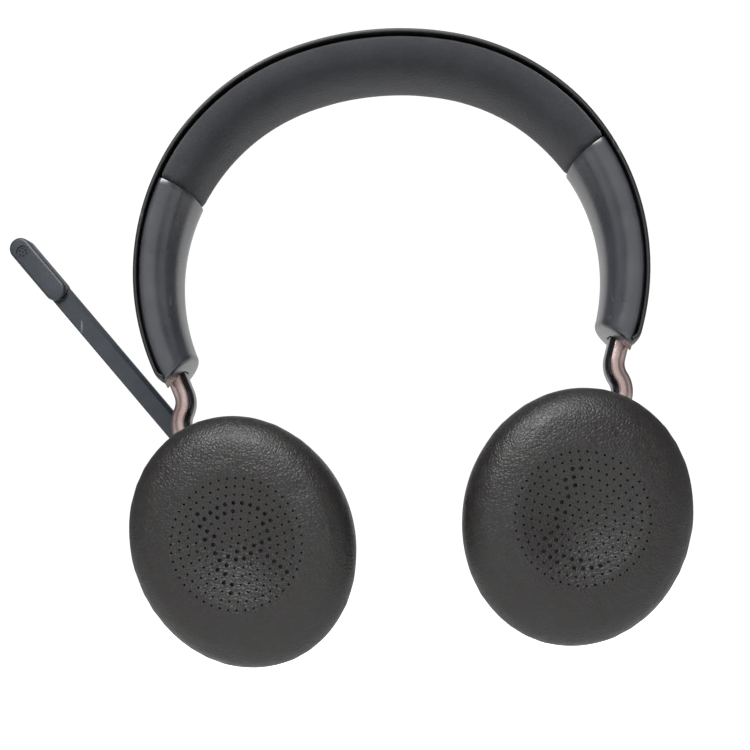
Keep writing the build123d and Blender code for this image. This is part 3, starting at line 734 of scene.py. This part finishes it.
def perforate(piece, side):
    """Sound holes in rings of six more holes each, cut into the dish. The large ones draw L or R."""
    pad = sizes("headset_pad")
    cup = LEFT_CUP if side == "left" else RIGHT_CUP
    letter_turn = Matrix.Rotation(LETTER_LEAN[side], 3, "Y")
    spots = [(0.0, 0.0)]
    for ring in range(1, pad.hole_rings + 1):
        for step in range(6 * ring):
            turn = step / (6 * ring) * 2 * pi
            spots.append((ring * cos(turn), ring * sin(turn)))
    start_clean()
    bpy.ops.mesh.primitive_cylinder_add(vertices=12, radius=0.1 * MM, depth=0.1 * MM, location=cup)
    cutter = begin("hole_cutter")
    bpy.ops.mesh.select_all(action="SELECT")
    bpy.ops.mesh.delete(type="VERT")
    for x, y in spots:
        place = cup + letter_turn @ Vector((x, 0, y)) * pad.hole_spacing
        found, hit, *rest = piece.ray_cast(place + Vector((0, -0.05, 0)), Vector((0, 1, 0)))
        if not found:
            raise RuntimeError("a sound hole misses the ear pad")
        width = pad.large_hole if on_letter(side, x, y) else pad.small_hole
        bpy.ops.mesh.primitive_cylinder_add(
            vertices=10, radius=width / 2, depth=2.4 * MM, location=hit, rotation=(pi / 2, 0, 0)
        )
    bpy.ops.object.mode_set(mode="OBJECT")
    cut_with(piece, cutter)


# ------------------------------------------------------------------ smooth copies of CAD nodes


def smooth_copy(node, name, finish_name, angle=30):
    """Copy a CAD node into a merged, smoothly shaded piece that stands for it."""
    source = frame["nodes"][node]
    start_clean()
    piece = bpy.data.objects.new(name, source.data.copy())
    bpy.context.collection.objects.link(piece)
    edit(piece)
    bpy.ops.mesh.select_all(action="SELECT")
    bpy.ops.mesh.remove_doubles(threshold=0.0000015)
    bpy.ops.mesh.customdata_custom_splitnormals_clear()
    bpy.ops.object.mode_set(mode="OBJECT")
    smooth(piece, angle)
    finish(piece, source["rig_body"], finish_name, NODE_SLOTS[node], node)
    return piece


SMOOTH_COPIES = {
    "boom_arm": ("boom_strap", "textured_grey_abs"),
    "boom_tip": ("boom_end", "textured_grey_abs"),
    "mic_grille": ("mic_mesh", "coated_steel"),
    "mute_button": ("mute_key", "textured_black_abs"),
    "trim_ring": ("trim_hoop", "satin_painted_abs"),
    "call_button": ("call_key", "gloss_acrylic"),
    "assistant_button": ("assistant_key", "gloss_acrylic"),
    "volume_up": ("volume_up_key", "textured_black_abs"),
    "volume_down": ("volume_down_key", "textured_black_abs"),
    "power_switch": ("power_slider", "textured_black_abs"),
    "usb_socket": ("usb_port", "etched_steel"),
    "charging_contacts": ("charging_pads", "gold_plated_brass"),
}
SMOOTH_PAIRS = {
    "arm": ("slide_arm", "anodised_bronze"),
    "arm_strip": ("arm_inlay", "gloss_acrylic"),
    "cup_housing": ("cup_bowl", "textured_black_abs"),
    "cup_cap": ("cup_disc", "textured_black_abs"),
    "light_ring": ("status_ring", "frosted_diffuser"),
    "knuckle": ("swivel_knuckle", "plain_black_nylon"),
    "swivel_pin": ("swivel_post", "etched_steel"),
    "cushion_carrier": ("pad_carrier", "plain_black_nylon"),
}


def make_smooth_copies():
    """Smooth copies of every CAD node that shows."""
    for node, (name, finish_name) in SMOOTH_COPIES.items():
        smooth_copy(node, name, finish_name)
    for side in EVERY_SIDE:
        for node, (name, finish_name) in SMOOTH_PAIRS.items():
            smooth_copy(f"{side}_{node}", f"{side}_{name}", finish_name)


# ------------------------------------------------------------------ materials

COLOUR = {"data_type": "RGBA"}
TIMES = {"operation": "MULTIPLY"}


def linear(hex_colour):
    """Linear colour of an sRGB hex value."""
    parts = [int(hex_colour[place:place + 2], 16) / 255 for place in (1, 3, 5)]
    bent = [p / 12.92 if p <= 0.04045 else ((p + 0.055) / 1.055) ** 2.4 for p in parts]
    return (*bent, 1.0)


def add(tree, kind, settings=None, **inputs):
    """Add a node, set its properties, and set or link its inputs. An input's name has _ for spaces,
    or is inputN for the Nth one, and a node given as a value is linked by its first live output."""
    node = tree.nodes.new("ShaderNode" + kind)
    for name, value in (settings or {}).items():
        setattr(node, name, value)
    for name, value in inputs.items():
        if name.startswith("input"):
            socket = node.inputs[int(name[5:])]
        else:
            socket = next(s for s in node.inputs if s.enabled and s.name == name.replace("_", " "))
        if isinstance(value, bpy.types.Node):
            value = next(output for output in value.outputs if output.enabled)
        if isinstance(value, bpy.types.NodeSocket):
            tree.links.new(value, socket)
        else:
            socket.default_value = value
    return node


def new_material(name):
    """Empty material: the material, its node tree and its coordinates."""
    material = bpy.data.materials.new(name)
    material.use_nodes = True
    tree = material.node_tree
    tree.nodes.clear()
    return material, tree, add(tree, "TexCoord").outputs["Object"]


def dress(material, **inputs):
    """Finish a material with its shader and its output."""
    shader = add(material.node_tree, "BsdfPrincipled", **inputs)
    add(material.node_tree, "OutputMaterial", Surface=shader)
    return material


def scale_of(size):
    """Pattern scale whose features have a real size in metres."""
    return 1.0 / size


def scratches(tree, coords, size):
    """Thin stray lines: noise stretched along one direction, kept where it crosses its middle value,
    and only in a few places."""
    mapping = add(tree, "Mapping", Vector=coords, Rotation=(0.3, 0.5, 0.4), Scale=(1.0, 1.0, 0.22))
    noise = add(tree, "TexNoise", Vector=mapping, Scale=scale_of(size), Detail=3.0, Roughness=0.6)
    offset = add(tree, "Math", {"operation": "SUBTRACT"}, input0=noise, input1=0.5)
    near = add(tree, "Math", {"operation": "ABSOLUTE"}, input0=offset)
    thin = add(tree, "MapRange", Value=near, From_Min=0.0, From_Max=0.004, To_Min=1.0, To_Max=0.0)
    place = add(tree, "TexNoise", Vector=coords, Scale=scale_of(0.011), Detail=1.0)
    rare = add(tree, "MapRange", Value=place, From_Min=0.60, From_Max=0.68)
    return add(tree, "Math", TIMES, input0=thin, input1=rare)


def moulded_plastic(name, colour, lighter, rough, texture_size, texture_height, worn, **shader):
    """Injection-moulded plastic: spark-eroded texture, slight cloudiness and a few scuffs."""
    material, tree, coords = new_material(name)
    fine = add(tree, "TexNoise", Vector=coords, Scale=scale_of(texture_size), Detail=2.0, Roughness=0.55)
    cloud = add(tree, "TexNoise", Vector=coords, Scale=scale_of(0.014), Detail=3.0, Roughness=0.6)
    patches = add(tree, "MapRange", Value=cloud, From_Min=0.35, From_Max=0.65)
    base = add(tree, "Mix", COLOUR, Factor=patches, A=linear(colour), B=linear(lighter))
    marks = add(tree, "Math", TIMES, input0=scratches(tree, coords, 0.012), input1=worn)
    shade = add(tree, "Mix", COLOUR, Factor=marks, A=base, B=linear("#8d8f93"))
    gloss = add(
        tree, "MapRange", Value=cloud, From_Min=0.3, From_Max=0.7, To_Min=rough - 0.05, To_Max=rough + 0.06
    )
    relief = add(tree, "Bump", Height=fine, Distance=texture_height)
    return dress(material, Base_Color=shade, Roughness=gloss, Normal=relief, **shader)


def textured_black_abs():
    """ABS from a spark-eroded mould: near black with a soft, grainy highlight.
    Its 0.1 mm texture is drawn at 0.3 mm, the finest that shows."""
    colours = sizes("headset_colours")
    return moulded_plastic("textured_black_abs", colours.shell, "#19191c", 0.46, 0.0003, 0.00002, 0.5)


def textured_grey_abs():
    """ABS from a spark-eroded mould, blue-grey: an even, dusty sheen.
    Its 0.1 mm texture is drawn at 0.3 mm, the finest that shows."""
    colours = sizes("headset_colours")
    return moulded_plastic("textured_grey_abs", colours.boom, "#272d34", 0.42, 0.0003, 0.000005, 0.4)


def satin_painted_abs():
    """ABS sprayed with satin soft-touch paint: a broad milky highlight, with scuffs and small chips."""
    colours = sizes("headset_colours")
    return moulded_plastic(
        "satin_painted_abs", colours.cover, "#393a3f", 0.29, 0.0004, 0.000006, 0.8,
        Coat_Weight=0.6, Coat_Roughness=0.24, Specular_IOR_Level=0.6,
    )


def knitted_polyester():
    """Fine warp-knitted polyester over foam: matt, with small loops and a soft sheen at the edges.
    Its 0.35 mm loops are drawn at 0.7 mm, the finest that shows."""
    colours = sizes("headset_colours")
    material, tree, coords = new_material("knitted_polyester")
    loops = add(
        tree, "TexVoronoi", {"feature": "SMOOTH_F1"}, Vector=coords, Scale=scale_of(0.0007), Smoothness=0.4
    )
    fuzz = add(tree, "TexNoise", Vector=coords, Scale=scale_of(0.0005), Detail=3.0, Roughness=0.7)
    cloud = add(tree, "TexNoise", Vector=coords, Scale=scale_of(0.009), Detail=3.0, Roughness=0.6)
    patches = add(tree, "MapRange", Value=cloud, From_Min=0.35, From_Max=0.65, To_Max=0.6)
    shade = add(tree, "Mix", COLOUR, Factor=patches, A=linear(colours.fabric), B=linear("#27282b"))
    lint = add(tree, "MapRange", Value=fuzz, From_Min=0.55, From_Max=0.8, To_Max=0.35)
    tips = add(tree, "Mix", COLOUR, Factor=lint, A=shade, B=linear("#4c4e52"))
    knit = add(tree, "Bump", Height=loops, Distance=0.00018, Strength=0.7)
    nap = add(tree, "Bump", Height=fuzz, Distance=0.0001, Strength=0.5, Normal=knit)
    return dress(
        material, Base_Color=tips, Normal=nap, Roughness=0.92, Specular_IOR_Level=0.25,
        Sheen_Weight=0.25, Sheen_Roughness=0.5,
    )


def pebbled_leatherette():
    """Polyurethane leatherette, embossed with a fine pebble grain: a soft broken gloss on brown-black."""
    colours = sizes("headset_colours")
    material, tree, coords = new_material("pebbled_leatherette")
    pebbles = add(
        tree, "TexVoronoi", {"feature": "DISTANCE_TO_EDGE"}, Vector=coords, Scale=scale_of(0.0011)
    )
    raised = add(tree, "MapRange", Value=pebbles, From_Min=0.0, From_Max=0.28)
    creases = add(tree, "TexNoise", Vector=coords, Scale=scale_of(0.0028), Detail=4.0, Roughness=0.65)
    cloud = add(tree, "TexNoise", Vector=coords, Scale=scale_of(0.017), Detail=3.0, Roughness=0.6)
    patches = add(tree, "MapRange", Value=cloud, From_Min=0.35, From_Max=0.65)
    base = add(tree, "Mix", COLOUR, Factor=patches, A=linear(colours.leather), B=linear("#1d1b1a"))
    # Painted shade: the low grooves between the pebbles are darkened towards near black in the colour.
    groove = add(tree, "MapRange", Value=pebbles, From_Min=0.0, From_Max=0.12, To_Min=0.45, To_Max=0.0)
    shade = add(tree, "Mix", COLOUR, Factor=groove, A=base, B=linear("#0e0d0d"))
    gloss = add(tree, "MapRange", Value=creases, From_Min=0.3, From_Max=0.7, To_Min=0.38, To_Max=0.52)
    folds = add(tree, "Bump", Height=creases, Distance=0.00022, Strength=0.9)
    grain = add(tree, "Bump", Height=raised, Distance=0.00008, Strength=0.8, Normal=folds)
    return dress(
        material, Base_Color=shade, Roughness=gloss, Normal=grain, Specular_IOR_Level=0.5,
        Sheen_Weight=0.04, Sheen_Roughness=0.4,
    )


def anodised_bronze():
    """Aluminium, bead-blasted and anodised rose-bronze: a wide soft metal highlight."""
    colours = sizes("headset_colours")
    material, tree, coords = new_material("anodised_bronze")
    blast = add(tree, "TexNoise", Vector=coords, Scale=scale_of(0.0002), Detail=2.0, Roughness=0.6)
    cloud = add(tree, "TexNoise", Vector=coords, Scale=scale_of(0.006), Detail=2.0)
    patches = add(tree, "MapRange", Value=cloud, From_Min=0.35, From_Max=0.65)
    shade = add(tree, "Mix", COLOUR, Factor=patches, A=linear(colours.bronze), B=linear("#c2a9a3"))
    gloss = add(tree, "MapRange", Value=blast, From_Min=0.3, From_Max=0.7, To_Min=0.25, To_Max=0.33)
    relief = add(tree, "Bump", Height=blast, Distance=0.000004)
    return dress(material, Base_Color=shade, Roughness=gloss, Normal=relief, Metallic=1.0)


def gloss_acrylic():
    """Polished black acrylic: a clear sharp reflection with faint wiping marks."""
    material, tree, coords = new_material("gloss_acrylic")
    wiped = add(tree, "TexNoise", Vector=coords, Scale=scale_of(0.004), Detail=4.0, Roughness=0.7)
    tint = add(tree, "MapRange", Value=wiped, From_Min=0.3, From_Max=0.7)
    shade = add(tree, "Mix", COLOUR, Factor=tint, A=linear("#141416"), B=linear("#1b1b1e"))
    gloss = add(tree, "MapRange", Value=wiped, From_Min=0.3, From_Max=0.7, To_Min=0.10, To_Max=0.20)
    return dress(
        material, Base_Color=shade, Roughness=gloss, IOR=1.49, Coat_Weight=0.4, Coat_Roughness=0.06
    )


def plain_metal(name, colour, darker, rough):
    """Metal with a fine drawn grain and slight staining."""
    material, tree, coords = new_material(name)
    drawn = add(tree, "Mapping", Vector=coords, Scale=(1.0, 1.0, 0.1))
    lines = add(tree, "TexNoise", Vector=drawn, Scale=scale_of(0.0003), Detail=2.0, Roughness=0.6)
    stain = add(tree, "TexNoise", Vector=coords, Scale=scale_of(0.005), Detail=3.0, Roughness=0.6)
    patches = add(tree, "MapRange", Value=stain, From_Min=0.3, From_Max=0.7)
    shade = add(tree, "Mix", COLOUR, Factor=patches, A=linear(colour), B=linear(darker))
    gloss = add(
        tree, "MapRange", Value=lines, From_Min=0.3, From_Max=0.7, To_Min=rough - 0.06, To_Max=rough + 0.08
    )
    return dress(material, Base_Color=shade, Roughness=gloss, Metallic=1.0)


def etched_steel():
    """Spring steel, pickled: grey with a dull sheen."""
    return plain_metal("etched_steel", "#9a9ca0", "#83858a", 0.34)


def coated_steel():
    """Pressed steel with a dark electrophoretic coat: a soft dark sheen."""
    return plain_metal("coated_steel", "#4a4b50", "#3b3c40", 0.42)


def gold_plated_brass():
    """Brass with a thin gold plating: warm and bright."""
    return plain_metal("gold_plated_brass", "#e2bd72", "#cfa457", 0.22)


def plain_moulding(name, colour, lighter, rough):
    """Plain moulded part with slight flow marks."""
    material, tree, coords = new_material(name)
    flow = add(tree, "TexNoise", Vector=coords, Scale=scale_of(0.006), Detail=3.0, Roughness=0.6)
    fine = add(tree, "TexNoise", Vector=coords, Scale=scale_of(0.0003), Detail=2.0)
    marks = add(tree, "MapRange", Value=flow, From_Min=0.3, From_Max=0.7)
    shade = add(tree, "Mix", COLOUR, Factor=marks, A=linear(colour), B=linear(lighter))
    gloss = add(
        tree, "MapRange", Value=flow, From_Min=0.3, From_Max=0.7, To_Min=rough - 0.05, To_Max=rough + 0.05
    )
    relief = add(tree, "Bump", Height=fine, Distance=0.000006)
    return dress(material, Base_Color=shade, Roughness=gloss, Normal=relief)


def plain_black_nylon():
    """Glass-filled nylon as moulded: matt black with slight flow marks."""
    return plain_moulding("plain_black_nylon", "#18181a", "#202022", 0.55)


def pressed_paper():
    """Pressed paper cone: matt and fibrous."""
    return plain_moulding("pressed_paper", "#3a3733", "#46423d", 0.85)


def solder_mask():
    """Circuit board with dark green solder mask: a waxy sheen."""
    return plain_moulding("solder_mask", "#1c3a2c", "#234635", 0.35)


def shrink_wrap():
    """Foil-wrapped lithium cell: slate blue with a soft gloss."""
    return plain_moulding("shrink_wrap", "#4a525f", "#566070", 0.3)


def polyimide_film():
    """Polyimide ribbon: amber film over copper tracks."""
    return plain_moulding("polyimide_film", "#a06a2c", "#8a5821", 0.3)


def acoustic_weave():
    """Open woven acoustic cloth: black, with 0.3 mm threads drawn at 0.5 mm so that they show."""
    material, tree, coords = new_material("acoustic_weave")
    weave = add(
        tree, "TexVoronoi", {"distance": "CHEBYCHEV"}, Vector=coords, Scale=scale_of(0.0005), Randomness=0.1
    )
    depth = add(tree, "MapRange", Value=weave, From_Min=0.2, From_Max=0.6)
    shade = add(tree, "Mix", COLOUR, Factor=depth, A=linear("#1d1d1e"), B=linear("#0c0c0d"))
    relief = add(tree, "Bump", Height=weave, Distance=0.0001)
    return dress(material, Base_Color=shade, Normal=relief, Roughness=0.9, Sheen_Weight=0.2)


def frosted_diffuser():
    """Frosted polycarbonate light guide, unlit: milky grey."""
    material, tree, coords = new_material("frosted_diffuser")
    haze = add(tree, "TexNoise", Vector=coords, Scale=scale_of(0.003), Detail=2.0)
    patches = add(tree, "MapRange", Value=haze, From_Min=0.3, From_Max=0.7)
    shade = add(tree, "Mix", COLOUR, Factor=patches, A=linear("#6d6f73"), B=linear("#787b80"))
    return dress(material, Base_Color=shade, Roughness=0.4, Subsurface_Weight=0.2, Subsurface_Scale=0.001)


FINISHES = {
    make.__name__: make
    for make in (
        textured_black_abs,
        textured_grey_abs,
        satin_painted_abs,
        knitted_polyester,
        pebbled_leatherette,
        anodised_bronze,
        gloss_acrylic,
        etched_steel,
        coated_steel,
        gold_plated_brass,
        plain_black_nylon,
        pressed_paper,
        solder_mask,
        shrink_wrap,
        polyimide_film,
        acoustic_weave,
        frosted_diffuser,
    )
}
SLOT_FINISHES = {
    "shell_plastic": "textured_black_abs",
    "satin_plastic": "satin_painted_abs",
    "boom_plastic": "textured_grey_abs",
    "crown_fabric": "knitted_polyester",
    "ear_leatherette": "pebbled_leatherette",
    "bronze_metal": "anodised_bronze",
    "gloss_black": "gloss_acrylic",
    "steel": "etched_steel",
    "inner_plastic": "plain_black_nylon",
    "speaker_metal": "coated_steel",
    "paper_cone": "pressed_paper",
    "mesh_cloth": "acoustic_weave",
    "board": "solder_mask",
    "light_diffuser": "frosted_diffuser",
    "contact_gold": "gold_plated_brass",
    "battery_wrap": "shrink_wrap",
    "ribbon": "polyimide_film",
}


def material_of(name):
    """A finish's material, made the first time that it is asked for."""
    return bpy.data.materials.get(name) or FINISHES[name]()


def finish(piece, body, finish_name, slot, *nodes):
    """Give a piece its material and its body, and hide the CAD nodes that it stands for. The slot is not
    used.
    """
    piece.data.materials.clear()
    piece.data.materials.append(material_of(finish_name))
    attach(piece, body)
    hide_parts(*nodes)


def paint_cad_nodes():
    """Give every carried-over CAD node the finish of its slot."""
    for name, node in frame["nodes"].items():
        for place in node.material_slots:
            place.material = material_of(SLOT_FINISHES[NODE_SLOTS[name]])


# ------------------------------------------------------------------ stage


def aim(item, target):
    """Turn a light towards a point."""
    item.rotation_euler = (Vector(target) - item.location).to_track_quat("-Z", "Y").to_euler()


def add_light(name, place, target, size, power, colour="#ffffff"):
    """Soft rectangular light."""
    start_clean()
    bpy.ops.object.light_add(type="AREA", location=place)
    light = bpy.context.object
    light.name = name
    light.data.shape = "SQUARE"
    light.data.size = size
    light.data.energy = power
    light.data.color = linear(colour)[:3]
    aim(light, target)
    return light


def make_stage():
    """Pale floor, bright surroundings, soft lights and the camera."""
    setup = sizes("headset_stage")
    scene = bpy.context.scene
    start_clean()
    bpy.ops.mesh.primitive_plane_add(size=14, location=(0, 0, setup.floor_height))
    floor = begin("floor")
    bpy.ops.object.mode_set(mode="OBJECT")
    material, tree, coords = new_material("pale_floor")
    patch = add(tree, "TexNoise", Vector=coords, Scale=scale_of(0.5), Detail=2.0)
    shade = add(tree, "Mix", COLOUR, Factor=patch, A=linear("#f7f7f6"), B=linear("#fbfbfa"))
    seen = add(tree, "LightPath").outputs["Is Camera Ray"]
    glow = add(tree, "MapRange", Value=seen, To_Min=0.1, To_Max=0.98)
    dress(
        material, Base_Color=shade, Roughness=0.9, Emission_Color=linear("#ffffff"), Emission_Strength=glow
    )
    floor.data.materials.append(material)

    world = bpy.data.worlds.new("studio")
    world.use_nodes = True
    tree = world.node_tree
    tree.nodes.clear()
    seen = add(tree, "Background", Color=linear("#ffffff"), Strength=1.05)
    lit = add(tree, "Background", Color=linear("#f4f6fa"), Strength=0.14)
    by_camera = add(tree, "LightPath").outputs["Is Camera Ray"]
    add(tree, "OutputWorld", Surface=add(tree, "MixShader", input0=by_camera, input1=lit, input2=seen))
    scene.world = world

    middle_point = Vector((0, 0, -0.08))
    add_light("key", (-0.12, -0.62, 0.52), middle_point, 0.5, 10)
    add_light("front_fill", (0.0, -1.0, -0.1), middle_point, 0.9, 1.5)
    add_light("top", (0.1, -0.1, 0.9), middle_point, 0.8, 3)
    add_light("left_fill", (-0.9, -0.3, 0.0), middle_point, 0.7, 0.5)
    add_light("right_fill", (0.9, -0.3, 0.0), middle_point, 0.7, 0.5)
    add_light("back", (0.0, 0.9, 0.1), middle_point, 1.2, 2.5)

    bpy.ops.object.camera_add(location=setup.camera_place)
    camera = bpy.context.object
    camera.name = "view_camera"
    pitch, yaw, roll = setup.camera_pitch, setup.camera_yaw, setup.camera_roll
    forward = Vector((-sin(yaw) * cos(pitch), cos(yaw) * cos(pitch), sin(pitch)))
    right = Vector((cos(yaw), sin(yaw), 0))
    up = right.cross(forward)
    turned_right = right * cos(roll) - up * sin(roll)
    turned_up = right * sin(roll) + up * cos(roll)
    axes = Matrix((turned_right, turned_up, -forward)).transposed()
    camera.matrix_world = Matrix.Translation(Vector(setup.camera_place)) @ axes.to_4x4()
    camera.data.lens = setup.camera_lens
    camera.data.sensor_width = 36
    camera.data.shift_y = setup.camera_shift
    camera.data.clip_start = 0.01
    camera.data.dof.use_dof = False
    scene.camera = camera
    scene.view_settings.view_transform = "Standard"
    scene.view_settings.look = "None"


# ------------------------------------------------------------------ operators and panel


class HEADSET_OT_paint_frame(bpy.types.Operator):
    """Give the carried-over CAD nodes their finishes"""

    bl_idname = "headset.paint_frame"
    bl_label = "Finish the Frame"

    def execute(self, context):
        paint_cad_nodes()
        return {"FINISHED"}


class HEADSET_OT_outer_shell(bpy.types.Operator):
    """Build the outer shell of the headband"""

    bl_idname = "headset.outer_shell"
    bl_label = "Outer Shell"

    def execute(self, context):
        make_outer_shell()
        return {"FINISHED"}


class HEADSET_OT_end_covers(bpy.types.Operator):
    """Build the two end covers with their slanted mouths"""

    bl_idname = "headset.end_covers"
    bl_label = "End Covers"

    def execute(self, context):
        make_covers()
        return {"FINISHED"}


class HEADSET_OT_crown_pad(bpy.types.Operator):
    """Build the padded crown by cloth simulation"""

    bl_idname = "headset.crown_pad"
    bl_label = "Crown Pad"

    def execute(self, context):
        make_crown_pad()
        return {"FINISHED"}


class HEADSET_OT_ear_pads(bpy.types.Operator):
    """Build the two perforated ear pads by cloth simulation"""

    bl_idname = "headset.ear_pads"
    bl_label = "Ear Pads"

    def execute(self, context):
        for side in EVERY_SIDE:
            make_ear_pad(side)
        return {"FINISHED"}


class HEADSET_OT_hard_parts(bpy.types.Operator):
    """Build the smooth copies of the arms, cups, keys and boom"""

    bl_idname = "headset.hard_parts"
    bl_label = "Arms, Cups and Boom"

    def execute(self, context):
        make_smooth_copies()
        return {"FINISHED"}


class HEADSET_OT_stage(bpy.types.Operator):
    """Build the floor, the lights and the camera"""

    bl_idname = "headset.stage"
    bl_label = "Stage"

    def execute(self, context):
        make_stage()
        return {"FINISHED"}


OPERATORS = (
    HEADSET_OT_paint_frame,
    HEADSET_OT_outer_shell,
    HEADSET_OT_end_covers,
    HEADSET_OT_crown_pad,
    HEADSET_OT_ear_pads,
    HEADSET_OT_hard_parts,
    HEADSET_OT_stage,
)


class HEADSET_PT_build(bpy.types.Panel):
    """Lists the sizes and the steps of the headset"""

    bl_idname = "HEADSET_PT_build"
    bl_label = "Headset"
    bl_space_type = "VIEW_3D"
    bl_region_type = "UI"
    bl_category = "Headset"

    def draw(self, context):
        layout = self.layout
        for group in GROUPS:
            box = layout.box()
            values = getattr(context.scene, group)
            for name in values.bl_rna.properties.keys():
                if name not in ("rna_type", "name"):
                    box.prop(values, name)
        for operator in OPERATORS:
            layout.operator(operator.bl_idname)


GROUPS = {
    "headset_band": BandSize,
    "headset_pad": PadSize,
    "headset_colours": FinishColours,
    "headset_stage": StageSetup,
}


def register():
    for group, kind in GROUPS.items():
        bpy.utils.register_class(kind)
        setattr(bpy.types.Scene, group, bpy.props.PointerProperty(type=kind))
    for operator in OPERATORS:
        bpy.utils.register_class(operator)
    bpy.utils.register_class(HEADSET_PT_build)


def unregister():
    bpy.utils.unregister_class(HEADSET_PT_build)
    for operator in reversed(OPERATORS):
        bpy.utils.unregister_class(operator)
    for group, kind in reversed(GROUPS.items()):
        delattr(bpy.types.Scene, group)
        bpy.utils.unregister_class(kind)


def main():
    register()
    bpy.ops.headset.paint_frame()
    bpy.ops.headset.outer_shell()
    bpy.ops.headset.end_covers()
    bpy.ops.headset.crown_pad()
    bpy.ops.headset.ear_pads()
    bpy.ops.headset.hard_parts()
    bpy.ops.headset.stage()


if __name__ == "__main__":
    main()
